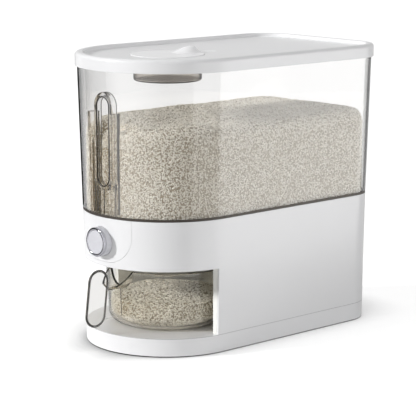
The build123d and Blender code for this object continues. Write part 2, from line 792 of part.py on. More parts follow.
# Front loop: a clear oblong loop on a ribbed tongue that stands in the rails
with BuildPart() as front_loop:
    gap_height = loop_height - 2 * loop_bar
    gap_width = loop_width - 2 * loop_bar
    with BuildSketch(Plane.XZ.offset(-loop_front)):
        with Locations((0, loop_bottom + loop_height / 2)):
            SlotOverall(loop_height, loop_width, rotation=90)
            SlotOverall(gap_height, gap_width, rotation=90, mode=Mode.SUBTRACT)
    extrude(amount=-loop_depth)
    fillet(front_loop.edges(), loop_bar_round)
    tongue_height = loop_bottom + tongue_lap - hopper_top
    with BuildSketch(Plane.XZ.offset(-tongue_front)):
        with Locations((0, hopper_top)):
            Rectangle(2 * tongue_half_width, tongue_height, align=(Align.CENTER, Align.MIN))
        with Locations((0, loop_bottom + loop_height / 2)):
            SlotOverall(gap_height, gap_width, rotation=90, mode=Mode.SUBTRACT)
    extrude(amount=-tongue_thickness)
    rib_height = loop_bottom + loop_bar - hopper_top
    with BuildSketch(Plane.XZ.offset(-tongue_front)):
        with Locations(*[(side * tongue_rib_spacing / 2, hopper_top) for side in (-1, 1)]):
            Rectangle(tongue_rib, rib_height, align=(Align.CENTER, Align.MIN))
        with Locations((0, loop_bottom + loop_height / 2)):
            SlotOverall(gap_height, gap_width, rotation=90, mode=Mode.SUBTRACT)
    extrude(amount=-tongue_thickness - tongue_rib)
front_loop.part.label = "front_loop"
export_step(front_loop.part, "parts/front_loop.step")

# Lid: recessed top in a rounded border, a skirt over the bin, a plug inside it and the cap's round seat
with BuildPart() as lid:
    seat_radius = cap_radius + sliding_gap
    extrude(lid_section(skirt_bottom), amount=lid_top - skirt_bottom)
    fillet(lid.edges().group_by(Axis.Z)[-1], lid_edge_round)
    extrude(lid_section(lid_panel_top, lid_border), amount=lid_recess, mode=Mode.SUBTRACT)
    recess_edges = lid.edges().filter_by(lambda edge: abs(edge.center().Z - lid_panel_top) < guide_fit)
    fillet(recess_edges, lid_recess_round)
    border_edges = lid.faces().sort_by(Axis.Z)[-1].inner_wires()[0].edges()
    fillet(border_edges, lid_recess_round)
    lid_cavity = lid_section(skirt_bottom, lid_skirt_wall)
    extrude(lid_cavity, amount=lid_panel_bottom - skirt_bottom, mode=Mode.SUBTRACT)
    plug_inset = bin_wall + plug_gap
    extrude(
        d_ring(
            lid_panel_bottom - plug_depth,
            base_half_width + bin_lean - plug_inset,
            base_back + bin_lean - plug_inset,
            base_corner + bin_lean - plug_inset,
            plug_wall,
        ),
        amount=plug_depth,
    )
    with BuildSketch(Plane.XY.offset(lid_panel_bottom)):
        with Locations((0, arc_y)):
            Circle(seat_radius + collar_wall)
    extrude(amount=-collar_depth)
    with BuildSketch(Plane.XY.offset(lid_panel_bottom - collar_depth)):
        with Locations((0, arc_y)):
            Circle(desiccant_radius + sliding_gap)
    extrude(amount=2 * collar_depth, mode=Mode.SUBTRACT)
    with BuildSketch(Plane.XY.offset(cap_floor)):
        with Locations((0, arc_y)):
            Circle(seat_radius)
    extrude(amount=2 * collar_depth, mode=Mode.SUBTRACT)
    with Locations((0, arc_y + scoop_setback, lid_panel_top - scoop_depth + scoop_radius)):
        Sphere(scoop_radius, mode=Mode.SUBTRACT)
lid.part.label = "lid"
export_step(lid.part, "parts/lid.step")

# Lid seal: the flat ring under the lid's border that lies on the bin's rim
with BuildPart() as lid_seal:
    rim = bin_lean - seam
    rim_ring = d_ring(bin_top, base_half_width + rim, base_back + rim, base_corner + rim, bin_wall - seam)
    extrude(rim_ring, amount=lid_seal_thickness)
lid_seal.part.label = "lid_seal"
export_step(lid_seal.part, "parts/lid_seal.step")

# Desiccant cup: a smoky round cup that hangs by its flange in the lid's seat
with BuildPart() as desiccant_cup:
    with BuildSketch(Plane.XY.offset(desiccant_bottom)):
        with Locations((0, arc_y)):
            Circle(desiccant_radius)
    extrude(amount=flange_top - desiccant_bottom)
    fillet(desiccant_cup.edges().group_by(Axis.Z)[0], desiccant_round)
    with BuildSketch(Plane.XY.offset(cap_floor)):
        with Locations((0, arc_y)):
            Circle(cap_radius)
    extrude(amount=desiccant_flange_thickness)
    with BuildSketch(Plane.XY.offset(desiccant_bottom + desiccant_floor)):
        with Locations((0, arc_y)):
            Circle(desiccant_radius - desiccant_wall)
    extrude(amount=flange_top - desiccant_bottom, mode=Mode.SUBTRACT)
desiccant_cup.part.label = "desiccant_cup"
export_step(desiccant_cup.part, "parts/desiccant_cup.step")

# Cap seal: a thin flat ring between the cup's flange and the cap
with BuildPart() as cap_seal:
    with BuildSketch(Plane.XY.offset(flange_top)):
        with Locations((0, arc_y)):
            Circle(cap_radius - seam)
            Circle(cap_radius - seam - cap_seal_width, mode=Mode.SUBTRACT)
    extrude(amount=cap_seal_thickness)
cap_seal.part.label = "cap_seal"
export_step(cap_seal.part, "parts/cap_seal.step")

# Desiccant cap: a round cap set in the lid, with a plug below and a raised finger tab at the back
with BuildPart() as desiccant_cap:
    plug_radius = desiccant_radius - desiccant_wall - sliding_gap
    with BuildSketch(Plane.XY.offset(cap_bottom)):
        with Locations((0, arc_y)):
            Circle(cap_radius)
    extrude(amount=cap_top - cap_bottom)
    fillet(desiccant_cap.edges().group_by(Axis.Z)[-1], cap_proud)
    with BuildSketch(Plane.XY.offset(cap_bottom)):
        with Locations((0, arc_y)):
            Circle(plug_radius)
            Circle(plug_radius - cap_plug_wall, mode=Mode.SUBTRACT)
    extrude(amount=-cap_plug_depth)
    for height_share, size_share in zip(tab_height_shares, tab_size_shares):
        front = tab_peak_setback + (tab_front_setback - tab_peak_setback) * size_share
        back = tab_peak_setback + (tab_back_setback - tab_peak_setback) * size_share
        with BuildSketch(Plane.XY.offset(cap_top + tab_height * height_share)):
            with Locations((0, arc_y + (front + back) / 2)):
                Ellipse(tab_half_width * size_share, (back - front) / 2)
    loft()
desiccant_cap.part.label = "desiccant_cap"
export_step(desiccant_cap.part, "parts/desiccant_cap.step")


def cup_turned(inset, floor, top, mode):
    """The cup's turned form between two levels: a slightly flared wall on a rounded foot."""
    flare = (cup_rim_radius - cup_floor_radius) / (cup_rim_height - cup_bottom)
    low_radius = cup_floor_radius + flare * (floor - cup_bottom) - inset
    high_radius = cup_floor_radius + flare * (top - cup_bottom) - inset
    with BuildSketch(Plane.XZ.offset(-arc_y)) as profile:
        with BuildLine():
            Polyline((0, floor), (low_radius, floor), (high_radius, top), (0, top), close=True)
        make_face()
        fillet(profile.vertices().group_by(Axis.Y)[0].sort_by(Axis.X)[-1], cup_round - inset)
    revolve(profile.sketch, axis=cup_axis, mode=mode)


# Rice cup: a turned clear cup with a lip, and a dipped thumb rest that runs out over the handle
with BuildPart() as rice_cup:
    cup_turned(0, cup_bottom, cup_rim_height, Mode.ADD)
    with BuildSketch(Plane.XZ.offset(-arc_y)) as lip_profile:
        with Locations((cup_rim_radius - cup_wall, cup_rim_height)):
            Rectangle(cup_wall + cup_lip, cup_lip_height, align=(Align.MIN, Align.MAX))
        fillet(lip_profile.vertices(), cup_lip_round)
    revolve(axis=cup_axis)
    with BuildSketch(Plane.XZ.offset(-arc_y)):
        with Locations((0, cup_rim_height)):
            Circle(rest_radius + rest_wall)
            Rectangle(4 * rest_radius, 4 * rest_radius, align=(Align.CENTER, Align.MIN), mode=Mode.SUBTRACT)
    extrude(amount=rest_reach)
    cup_turned(cup_wall, cup_bottom + cup_floor, cup_rim_height + cut_overrun, Mode.SUBTRACT)
    with BuildSketch(Plane.XZ.offset(-arc_y)):
        with Locations((0, cup_rim_height)):
            Circle(rest_radius)
    extrude(amount=rest_reach + cut_overrun, mode=Mode.SUBTRACT)
    rest_slope = (cup_rim_height - rest_tip_height) / (rest_reach - rest_root)
    with BuildSketch(Plane.YZ):
        with BuildLine():
            Polyline(
                (arc_y - rest_root, cup_rim_height),
                (arc_y - rest_reach - cut_overrun, rest_tip_height - rest_slope * cut_overrun),
                (arc_y - rest_reach - cut_overrun, cup_rim_height + cut_overrun),
                (arc_y - rest_root, cup_rim_height + cut_overrun),
                close=True,
            )
        make_face()
    extrude(amount=rest_radius + rest_wall, both=True, mode=Mode.SUBTRACT)
rice_cup.part.label = "rice_cup"
export_step(rice_cup.part, "parts/rice_cup.step")

# Cup handle: a clear upright plate with a beaded edge, on a web from the cup's wall
with BuildPart() as cup_handle:
    with BuildSketch(Plane.YZ):
        with Locations((arc_y - handle_reach + grip_width / 2, web_bottom)):
            Rectangle(
                handle_reach - grip_width / 2,
                cup_rim_height - rest_radius - rest_wall - guide_fit - web_bottom,
                align=(Align.MIN, Align.MIN),
            )
    extrude(amount=grip_plate / 2, both=True)
    cup_turned(-guide_fit, cup_bottom - guide_fit, cup_rim_height, Mode.SUBTRACT)
    with BuildSketch(Plane.YZ) as grip:
        with Locations((grip_y, grip_z)):
            SlotCenterToCenter(grip_run, grip_width - 2 * grip_bead, rotation=90 - grip_lean)
    extrude(amount=grip_plate / 2, both=True)
    bead_path = grip.sketch.faces()[0].outer_wire()
    with BuildSketch(Plane(origin=bead_path @ 0, z_dir=bead_path % 0)):
        Circle(grip_bead)
    sweep(path=bead_path)
cup_handle.part.label = "cup_handle"
export_step(cup_handle.part, "parts/cup_handle.step")
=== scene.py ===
# %% [markdown]
# # A rice container, dressed for its picture
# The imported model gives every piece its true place: a clear bin on a white base, a push button, a
# shutter and a pull-out cup. This lesson adds what the eye needs on top of that: the light of a small
# studio, finishes that behave like the real plastics, soft edges on the mouldings, and the rice itself.

# %% Load the frame and keep its box
import json
import math
import random

import bmesh
import bpy
from mathutils import Matrix, Vector, noise


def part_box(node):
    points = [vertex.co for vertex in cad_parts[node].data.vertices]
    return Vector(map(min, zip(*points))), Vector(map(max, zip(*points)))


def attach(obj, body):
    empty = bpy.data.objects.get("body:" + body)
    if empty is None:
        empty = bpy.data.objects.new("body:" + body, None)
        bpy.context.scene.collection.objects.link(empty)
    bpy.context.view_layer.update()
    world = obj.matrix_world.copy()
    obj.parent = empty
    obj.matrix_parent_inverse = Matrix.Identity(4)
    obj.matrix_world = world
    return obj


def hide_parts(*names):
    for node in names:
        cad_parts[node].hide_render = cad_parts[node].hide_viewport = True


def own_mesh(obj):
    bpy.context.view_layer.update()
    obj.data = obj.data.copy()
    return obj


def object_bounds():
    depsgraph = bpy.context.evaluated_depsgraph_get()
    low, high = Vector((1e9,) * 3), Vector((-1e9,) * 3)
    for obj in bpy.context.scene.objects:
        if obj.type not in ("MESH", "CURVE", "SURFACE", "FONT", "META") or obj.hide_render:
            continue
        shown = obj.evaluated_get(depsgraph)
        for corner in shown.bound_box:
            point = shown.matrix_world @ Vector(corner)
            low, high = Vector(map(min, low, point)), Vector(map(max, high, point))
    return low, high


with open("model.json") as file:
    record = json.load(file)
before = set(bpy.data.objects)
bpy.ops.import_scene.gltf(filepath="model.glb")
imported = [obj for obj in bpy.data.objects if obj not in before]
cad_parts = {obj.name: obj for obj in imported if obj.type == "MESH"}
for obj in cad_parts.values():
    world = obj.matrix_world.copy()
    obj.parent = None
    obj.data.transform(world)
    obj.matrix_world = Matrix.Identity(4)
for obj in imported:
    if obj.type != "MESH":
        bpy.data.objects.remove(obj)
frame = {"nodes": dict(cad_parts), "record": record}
cad_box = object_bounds()
MM = 0.001
nodes = frame["nodes"]
scene = bpy.context.scene

# %% [markdown]
# ## Places to build from
# Everything round in this object shares one upright axis: the half-round fronts of the bin, the base
# and the lid, and the turned cup. Its place is read from the desiccant cup, which is a full circle.
# The boxes of the bin, the cup and the base give the heights that the new pieces start from. Reading
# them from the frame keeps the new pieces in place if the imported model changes.

# %% Read the main places from the frame
desiccant_low, desiccant_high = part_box("desiccant_cup")
axis_y = (desiccant_low.y + desiccant_high.y) / 2
bin_low, bin_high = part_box("grain_bin")
cup_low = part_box("rice_cup")[0]
base_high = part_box("base_housing")[1]
print("front axis at y =", round(axis_y / MM, 2), "mm, base top at z =", round(base_high.z / MM, 1), "mm")

# %% [markdown]
# ## The camera
# The picture was taken from the right of the front and a little above, with a long lens, so that the
# upright edges stay nearly parallel. The camera keeps that angle and distance. An azimuth of 0 looks
# at the front, and positive ones are on the right.

# %% Set the camera
def direction(azimuth, elevation):
    """A unit vector from the object towards an azimuth and elevation in degrees."""
    turn = math.radians(azimuth)
    rise = math.radians(elevation)
    return Vector((math.sin(turn) * math.cos(rise), -math.cos(turn) * math.cos(rise), math.sin(rise)))


camera_place = Vector((1502.87 * MM, -1341.06 * MM, 534.60 * MM))
towards_camera = direction(48.386, 10.926)
lens_mm = 147.98
sensor_mm = 36.0

camera_data = bpy.data.cameras.new("camera")
camera_data.sensor_width = sensor_mm
camera_data.lens = lens_mm
camera = bpy.data.objects.new("camera", camera_data)
scene.collection.objects.link(camera)
camera.location = camera_place
camera.rotation_mode = "QUATERNION"
camera.rotation_quaternion = (-towards_camera).to_track_quat("-Z", "Y")
scene.camera = camera
scene.view_settings.view_transform = "Standard"
print("camera at", [round(v, 3) for v in camera_place])

# %% [markdown]
# ## Small helpers for shading
# Colours are written as sRGB hex, the way a paint or plastics chart gives them, and shaders want
# linear light. One function turns the first into the second. Another adds a shader node, sets its
# sockets and wires it up in a single line, so that a material reads like a recipe.

# %% Helpers for colours and shader nodes
def linear(hex_colour):
    """Linear RGBA of an sRGB hex colour such as E6E6E4."""
    channels = [int(hex_colour[i:i + 2], 16) / 255 for i in (0, 2, 4)]
    lights = [c / 12.92 if c <= 0.04045 else ((c + 0.055) / 1.055) ** 2.4 for c in channels]
    return (*lights, 1.0)


def add(tree, kind, settings=None, links=None):
    """Adds one node, sets its options or sockets, and links sockets, by name or number, from outputs."""
    node = tree.nodes.new("ShaderNode" + kind)
    for name, value in (settings or {}).items():
        if hasattr(node, name):
            setattr(node, name, value)
        else:
            node.inputs[name].default_value = value
    for name, output in (links or {}).items():
        tree.links.new(output, node.inputs[name])
    return node


def new_material(name):
    """An empty node material, its tree and its output node."""
    material = bpy.data.materials.new(name)
    material.use_nodes = True
    tree = material.node_tree
    tree.nodes.clear()
    return material, tree, add(tree, "OutputMaterial")


white = linear("FFFFFF")
print("hex E6E6E4 is", [round(v, 3) for v in linear("E6E6E4")])

# %% [markdown]
# ## The studio
# A clear container on white is drawn by what its walls mirror and by what is seen through them. A real
# studio balances those with cards and screens. Here the room and the floor ask which kind of ray has
# found them, through the Light Path node, and answer each kind with its own level.

# %% What each kind of ray sees
def level_by_ray(tree, seen, through, trapped, mirrored, matt):
    """A level by the kind of ray: direct, through glass, caught in its edges, mirrored or matt."""
    path = add(tree, "LightPath")
    bounced_ends = {"To Min": matt, "To Max": mirrored}
    bounced = add(tree, "MapRange", bounced_ends, {"Value": path.outputs["Is Glossy Ray"]})
    glass_ends = {"To Min": through, "To Max": trapped}
    glass = add(tree, "MapRange", glass_ends, {"Value": path.outputs["Glossy Depth"]})
    indirect = add(
        tree,
        "MapRange",
        links={
            "Value": path.outputs["Is Transmission Ray"],
            "To Min": bounced.outputs[0],
            "To Max": glass.outputs[0],
        },
    )
    level = add(
        tree,
        "MapRange",
        {"To Max": seen},
        {"Value": path.outputs["Is Camera Ray"], "To Min": indirect.outputs[0]},
    )
    return level.outputs[0]


through_level = 0.95
trapped_level = 0.05
print("clear plastic shows", through_level, "of white, and its edges", trapped_level)

# %% [markdown]
# ## Light from all round
# The white room is the world's background. Past the object it is plain white. Matt surfaces get only a
# little of it, so that the lamps can model the form, and shiny ones mirror more. Light that is caught
# inside a clear edge finds it almost black, and that is what draws the edges of clear plastic.

# %% World light
ambient = 0.23
mirror_level = 0.75
world = bpy.data.worlds.new("studio")
scene.world = world
world.use_nodes = True
tree = world.node_tree
tree.nodes.clear()
share = level_by_ray(tree, 1.0, through_level, trapped_level, mirror_level, ambient)
background = add(tree, "Background", {"Color": white}, {"Strength": share})
add(tree, "OutputWorld", links={"Surface": background.outputs[0]})
print("ambient light", ambient)

# %% [markdown]
# ## Lamps
# A small lamp in front on the left draws the shadow beside the button, a broad fill from the right
# opens the shaded side, and a softbox overhead lights the lid. Key and fill are sun lamps, because they
# light every height of the container alike. The softbox is an area lamp, and its power is worked out
# from the light that should reach the lid.

# %% Key, fill and overhead
def add_lamp(name, kind, energy, place, towards):
    """A lamp of one kind at a place, linked to the scene and turned along a direction."""
    data = bpy.data.lights.new(name, kind)
    data.energy = energy
    lamp = bpy.data.objects.new(name, data)
    scene.collection.objects.link(lamp)
    lamp.location = place
    lamp.rotation_mode = "QUATERNION"
    lamp.rotation_quaternion = towards.to_track_quat("-Z", "Y")
    return lamp


middle = (cad_box[0] + cad_box[1]) / 2
lamp_distance = 2.0
key_side = direction(-30, 20)
key_strength = 2.8
key_spread = math.radians(7)
fill_side = direction(85, 10)
fill_strength = 1.2
fill_spread = math.radians(60)
overhead_height = 1.2
overhead_size = 1.0
overhead_light = 0.28

key = add_lamp("key_lamp", "SUN", key_strength, middle + key_side * lamp_distance, -key_side)
key.data.angle = key_spread
fill = add_lamp("fill_lamp", "SUN", fill_strength, middle + fill_side * lamp_distance, -fill_side)
fill.data.angle = fill_spread
fill.visible_glossy = False
overhead_power = overhead_light * math.pi * math.pi * (overhead_height - cad_box[1].z) ** 2
overhead_place = Vector((0, 0, overhead_height))
overhead = add_lamp("overhead_softbox", "AREA", overhead_power, overhead_place, Vector((0, 0, -1)))
overhead.data.size = overhead_size
overhead.visible_glossy = False
overhead.visible_transmission = False
overhead.visible_camera = False
print("overhead softbox", round(overhead_power, 2), "W")

# %% [markdown]
# ## Cards on the right
# Two upright cards lie over the bin's straight side as a pale sheen, stronger towards the back. They
# could be glowing sheets, but an area lamp can be hidden from matt surfaces, so it gives the sheen
# without lighting anything else.

# %% Reflection cards
card_x = 0.36
card_height = 0.36
# for each card: its two ends behind the front axis in metres, and its glow
cards = {"near_card": (-0.079, 0.14, 1.2), "far_card": (0.14, 0.80, 3.2)}
for name, (start, end, glow) in cards.items():
    card_power = glow * math.pi * (end - start) * card_height
    card_place = Vector((card_x, axis_y + (start + end) / 2, card_height / 2))
    card = add_lamp(name, "AREA", card_power, card_place, Vector((-1, 0, 0)))
    card.data.shape = "RECTANGLE"
    card.data.size = end - start
    card.data.size_y = card_height
    card.visible_diffuse = False
    card.visible_camera = False
    card.visible_transmission = False

# %% [markdown]
# ## Sheets of the studio
# The floor, a glowing panel and black cards are flat sheets that belong to the studio and not to the
# object. One helper makes them all: a square of one metre, stretched and put in its place.

# %% A helper for studio sheets
def object_from(bm, name, material):
    """Turns a bmesh into a mesh object of one material and links it to the scene."""
    mesh = bpy.data.meshes.new(name)
    bm.to_mesh(mesh)
    bm.free()
    mesh.materials.append(material)
    made = bpy.data.objects.new(name, mesh)
    scene.collection.objects.link(made)
    return made


def studio_sheet(name, material, placing, seen=True):
    """A flat sheet of the studio. An unseen one shows only in reflections and casts no shadow."""
    bm = bmesh.new()
    bmesh.ops.create_grid(bm, x_segments=1, y_segments=1, size=0.5)
    bmesh.ops.transform(bm, matrix=placing, verts=bm.verts[:])
    sheet = object_from(bm, name, material)
    sheet.visible_camera = seen
    sheet.visible_diffuse = seen
    sheet.visible_shadow = seen
    print("studio sheet", name, [round(v, 2) for v in sheet.dimensions], "m")


# %% [markdown]
# ## The white sweep
# The container stands on white paper that runs out of the picture. Paper lit only by these lamps would
# come out grey in places, so to the camera it also glows a little. Near the container a painted shade
# darkens it: ambient occlusion measures how much of the room a spot no longer sees, and that measure
# darkens the paper's colour for the camera. The painted shade is deep in front and thin on the right,
# where its depth is set by the floor's position across, not by the lamps.

# %% The painted shade near the container
contact_reach = 80.0 * MM
contact_front_depth = 1.4
contact_right_depth = 0.3
contact_turn = 0.03
contact_right = 0.12
sweep_paper, tree, output = new_material("white_paper_sweep")
path = add(tree, "LightPath")
nearness = add(tree, "AmbientOcclusion", {"samples": 8, "Distance": contact_reach})
across = add(tree, "SeparateXYZ", links={"Vector": add(tree, "TexCoord").outputs["Object"]})
depth_ends = {
    "From Min": contact_turn,
    "From Max": contact_right,
    "To Min": contact_front_depth,
    "To Max": contact_right_depth,
}
depth = add(tree, "MapRange", depth_ends, {"Value": across.outputs["X"]})
# painted contact shadow: ambient occlusion darkens the paper's colour for camera rays, deep in front and
# thin on the right by the floor's x position
contact = add(tree, "Math", {"operation": "POWER"}, {0: nearness.outputs["AO"], 1: depth.outputs[0]})
shadow = add(
    tree,
    "MapRange",
    {"To Min": 1.0},
    {"Value": path.outputs["Is Camera Ray"], "To Max": contact.outputs[0]},
)
print("contact shade reaches", round(contact_reach / MM), "mm")

# %% [markdown]
# ## The paper itself
# Paper is a plain matt surface. To the camera a share of it glows, so that the floor stays white and
# the lamp's shadow on it stays light. The painted shade near the container is mixed in last, as plain black.

# %% The paper and its glow
sweep_seen = 2.3
sweep_mirrored = 1.3
sweep_bounce = 0.95
sweep_glow_share = 0.7
sweep_width = 12.0
level = level_by_ray(tree, sweep_seen, through_level, trapped_level, sweep_mirrored, sweep_bounce)
paper = add(tree, "BsdfDiffuse", links={"Color": level})
glow = level_by_ray(tree, 1.0, through_level, trapped_level, sweep_mirrored, sweep_bounce)
bright = add(tree, "Emission", {"Color": white}, {"Strength": glow})
glow_seen = add(tree, "MapRange", {"To Max": sweep_glow_share}, {"Value": path.outputs["Is Camera Ray"]})
glow_share = add(
    tree,
    "Math",
    {"operation": "MAXIMUM"},
    {0: glow_seen.outputs[0], 1: path.outputs["Is Transmission Ray"]},
)
lit = add(tree, "MixShader", links={0: glow_share.outputs[0], 1: paper.outputs[0], 2: bright.outputs[0]})
dark = add(tree, "Emission", {"Strength": 0.0})
surface = add(tree, "MixShader", links={0: shadow.outputs[0], 1: dark.outputs[0], 2: lit.outputs[0]})
tree.links.new(surface.outputs[0], output.inputs["Surface"])
studio_sheet("white_sweep", sweep_paper, Matrix.Diagonal((sweep_width, sweep_width, 1, 1)))

# %% [markdown]
# ## A glowing panel in front
# A long white panel stands in front of the object, brightest near the middle and fading to both sides.
# Only shiny surfaces see it: it lies over the round front of the bin and the cup as a soft pale sheen.
# A clear wall has two surfaces. Light that has passed more than two finds the panel switched off,
# because the panel would veil the rice there.

# %% The panel's light
panel_glow = 1.05
panel_start = -0.22
panel_full = -0.02
panel_gone = 0.46
panel_most_surfaces = 2.0
panel_light, tree, output = new_material("front_panel_light")
across = add(tree, "SeparateXYZ", links={"Vector": add(tree, "TexCoord").outputs["Object"]}).outputs["X"]
fade_ends = {"From Min": panel_full, "From Max": panel_gone, "To Min": panel_glow, "To Max": 0.0}
fade = add(tree, "MapRange", {"interpolation_type": "SMOOTHSTEP", **fade_ends}, {"Value": across})
rise_ends = {"From Min": panel_start, "From Max": panel_full}
rise = add(tree, "MapRange", {"interpolation_type": "SMOOTHSTEP", **rise_ends}, {"Value": across})
passed = add(tree, "LightPath").outputs["Transmission Depth"]
direct_ends = {
    "From Min": panel_most_surfaces,
    "From Max": panel_most_surfaces + 1,
    "To Min": 1.0,
    "To Max": 0.0,
}
direct = add(tree, "MapRange", direct_ends, {"Value": passed})
shape = add(tree, "Math", {"operation": "MULTIPLY"}, {0: fade.outputs[0], 1: rise.outputs[0]})
strength = add(tree, "Math", {"operation": "MULTIPLY"}, {0: shape.outputs[0], 1: direct.outputs[0]})
glow = add(tree, "Emission", {"Color": white}, {"Strength": strength.outputs[0]})
unseen = add(tree, "BsdfTransparent")
both = add(tree, "AddShader", links={0: glow.outputs[0], 1: unseen.outputs[0]})
tree.links.new(both.outputs[0], output.inputs["Surface"])
print("panel light:", panel_light.name)

# %% [markdown]
# ## Where the panel stands
# The panel is wide enough for the whole round front to mirror some of it, and it stands close, so
# that its fading ends are seen as soft edges.

# %% Stand the panel up
panel_front = axis_y - 0.40
panel_width = 1.4
panel_height = 0.5
panel_size = Matrix.Diagonal((panel_width, panel_height, 1, 1))
panel_place = Matrix.Translation((0, panel_front, panel_height / 2))
upright = Matrix.Rotation(math.pi / 2, 4, "X")
studio_sheet("front_panel", panel_light, panel_place @ upright @ panel_size, seen=False)

# %% [markdown]
# ## Two black flags
# Clear plastic on white would have no outline at all. Photographers stand black cards just outside the
# picture: along the bin's far left edge the wall mirrors one of them, and the edge is drawn as a dark
# line. The other stands in front on the left and keeps the white floor out of the wall's reflection
# there, so that the loop behind the wall shows clearly.

# %% The flags
flag_distance = 0.62
flag_high = 0.40
felt_black = linear("303030")


def black_flag(name, centre, azimuth, half_width, low, most_surfaces):
    """A black card that faces a centre from an azimuth, seen after a limited count of clear surfaces."""
    material, tree, output = new_material(name + "_felt")
    felt = add(tree, "BsdfDiffuse", {"Color": felt_black})
    passed = add(tree, "LightPath").outputs["Transmission Depth"]
    ends = {"From Min": most_surfaces, "From Max": most_surfaces + 1, "To Min": 1.0, "To Max": 0.0}
    direct = add(tree, "MapRange", ends, {"Value": passed})
    unseen = add(tree, "BsdfTransparent")
    either = add(tree, "MixShader", links={0: direct.outputs[0], 1: unseen.outputs[0], 2: felt.outputs[0]})
    tree.links.new(either.outputs[0], output.inputs["Surface"])
    way = direction(azimuth, 0)
    size = Matrix.Diagonal((2 * half_width, flag_high - low, 1, 1))
    place = Matrix.Translation(centre + way * flag_distance + Vector((0, 0, (low + flag_high) / 2)))
    turn = way.to_track_quat("Z", "Y").to_matrix().to_4x4()
    studio_sheet(name, material, place @ turn @ size, seen=False)


bin_axis = Vector((0, axis_y, 0))
bin_outer_radius = 0.102
left_edge_azimuth = -41.6
left_edge = bin_axis + direction(left_edge_azimuth, 0) * bin_outer_radius
black_flag("side_flag", left_edge, -112.6, half_width=0.09, low=0.035, most_surfaces=0)
black_flag("front_flag", bin_axis, -50, half_width=0.24, low=0.0, most_surfaces=2)

# %% [markdown]
# ## Moulded white plastic
# The lid, the base and the button are injection-moulded ABS: white with a hint of grey, smooth but not
# mirror-like. The colour drifts by a shade where the wall cools slower, which comes from wide noise in
# object coordinates, so that it stays with the piece when it moves. No moulded edge is perfectly sharp,
# and a Bevel node rounds the light along the edges by a fraction of a millimetre.

# %% White plastics
drift_width = 70.0 * MM
abs_ior = 1.50


def white_moulding(name, pale, dull, roughness, edge_radius):
    """Moulded white plastic: two close shades in wide patches, and softly lit edges."""
    material, tree, output = new_material(name)
    place = add(tree, "TexCoord").outputs["Object"]
    drift = add(tree, "TexNoise", {"Scale": 1 / drift_width, "Detail": 2.0}, {"Vector": place})
    shades = {"Color1": linear(pale), "Color2": linear(dull)}
    shade = add(tree, "MixRGB", shades, {"Fac": drift.outputs["Fac"]})
    soft_edge = add(tree, "Bevel", {"samples": 6, "Radius": edge_radius})
    shader = add(
        tree,
        "BsdfPrincipled",
        {"IOR": abs_ior, "Roughness": roughness},
        {"Base Color": shade.outputs[0], "Normal": soft_edge.outputs[0]},
    )
    tree.links.new(shader.outputs[0], output.inputs["Surface"])
    return material


# ABS from a polished mould: a soft, broad sheen on the lid and the base
gloss_white = white_moulding("abs_gloss_white", "E8E8E9", "E3E3E4", 0.28, 0.7 * MM)
# the same white painted lighter and a little glossier: the cap stands out from the lid around it
bright_white = white_moulding("abs_bright_white", "F6F6F7", "F2F2F3", 0.25, 0.7 * MM)
# ABS from a plain mould: hardly any sheen, for what sits inside; paler than the outer white, painted lighter
# against the shade inside the base
satin_white = white_moulding("abs_satin_white", "F0F0EC", "E8E8E4", 0.45, 0.5 * MM)
# ABS with a pearly pigment: the button looks cooler and greyer than the panel
button_white = white_moulding("abs_pearl_button", "CFCFD4", "C9C9CF", 0.30, 0.7 * MM)
print("white plastics:", gloss_white.name, bright_white.name, satin_white.name, button_white.name)

# %% [markdown]
# ## Clear and smoky plastic
# The bin, the cup and the loop are clear styrene. A 3 mm wall looks nearly colourless, but along an
# edge the eye looks through centimetres of it, so the edges turn brown-grey. That is absorption, and
# the shader gets it the way the plastic does: a clear surface around a slightly tinted volume. Lamp
# light would stop at such a surface, so rays from lamps and from matt surfaces pass it straight.

# %% Clear plastics
def clear_moulding(name, roughness, ior, tint, density, veil):
    """See-through plastic: a clear surface, an absorbing volume, and a plain way through for light."""
    material, tree, output = new_material(name)
    path = add(tree, "LightPath")
    passing = add(
        tree,
        "Math",
        {"operation": "MAXIMUM"},
        {0: path.outputs["Is Shadow Ray"], 1: path.outputs["Is Diffuse Ray"]},
    )
    glass = add(
        tree,
        "BsdfPrincipled",
        {"Base Color": white, "Roughness": roughness, "IOR": ior, "Transmission Weight": 1.0},
    )
    open_way = add(tree, "BsdfTransparent", {"Color": linear(veil)})
    both = add(tree, "MixShader", links={0: passing.outputs[0], 1: glass.outputs[0], 2: open_way.outputs[0]})
    body = add(tree, "VolumeAbsorption", {"Color": linear(tint), "Density": density})
    tree.links.new(both.outputs[0], output.inputs["Surface"])
    tree.links.new(body.outputs[0], output.inputs["Volume"])
    return material


styrene_ior = 1.57
# polished clear styrene: almost no colour, bright reflections
clear_wall = clear_moulding("styrene_clear_wall", 0.0, styrene_ior, "D8C8B0", 8.0, "FFFFFF")
# the rails bend light less than solid styrene would, so that the rice shows through them
clear_rail = clear_moulding("styrene_clear_rail", 0.0, 1.25, "D8B890", 12.0, "FFFFFF")
# the cup's wall: a warm grey cast over what is in it
clear_cup = clear_moulding("styrene_clear_cup", 0.0, styrene_ior, "C8BE9C", 50.0, "FFFFFF")
# styrene with a brown dye and a fine texture: the desiccant cup is a smoky shape
smoky_styrene = clear_moulding("styrene_smoky", 0.12, styrene_ior, "AC8E58", 150.0, "D8D0C4")
# the loop's bars: glassy, with darker edges than the wall in front of them
clear_loop = clear_moulding("styrene_clear_loop", 0.0, 1.40, "8A7458", 12.0, "FFFFFF")
print("clear plastics:", [m.name for m in (clear_wall, clear_rail, clear_cup, smoky_styrene, clear_loop)])

# %% [markdown]
# ## Small finishes
# The button's ring is plated bright, the spring and screws are drawn steel, and the seals and feet are
# rubber. Each is small, but each catches light in its own way. One recipe serves them all: two close
# shades, a gloss that varies by a third, and a fine bump, all from one grain.

# %% Metal and rubber
gloss_least = 0.7
gloss_most = 1.3


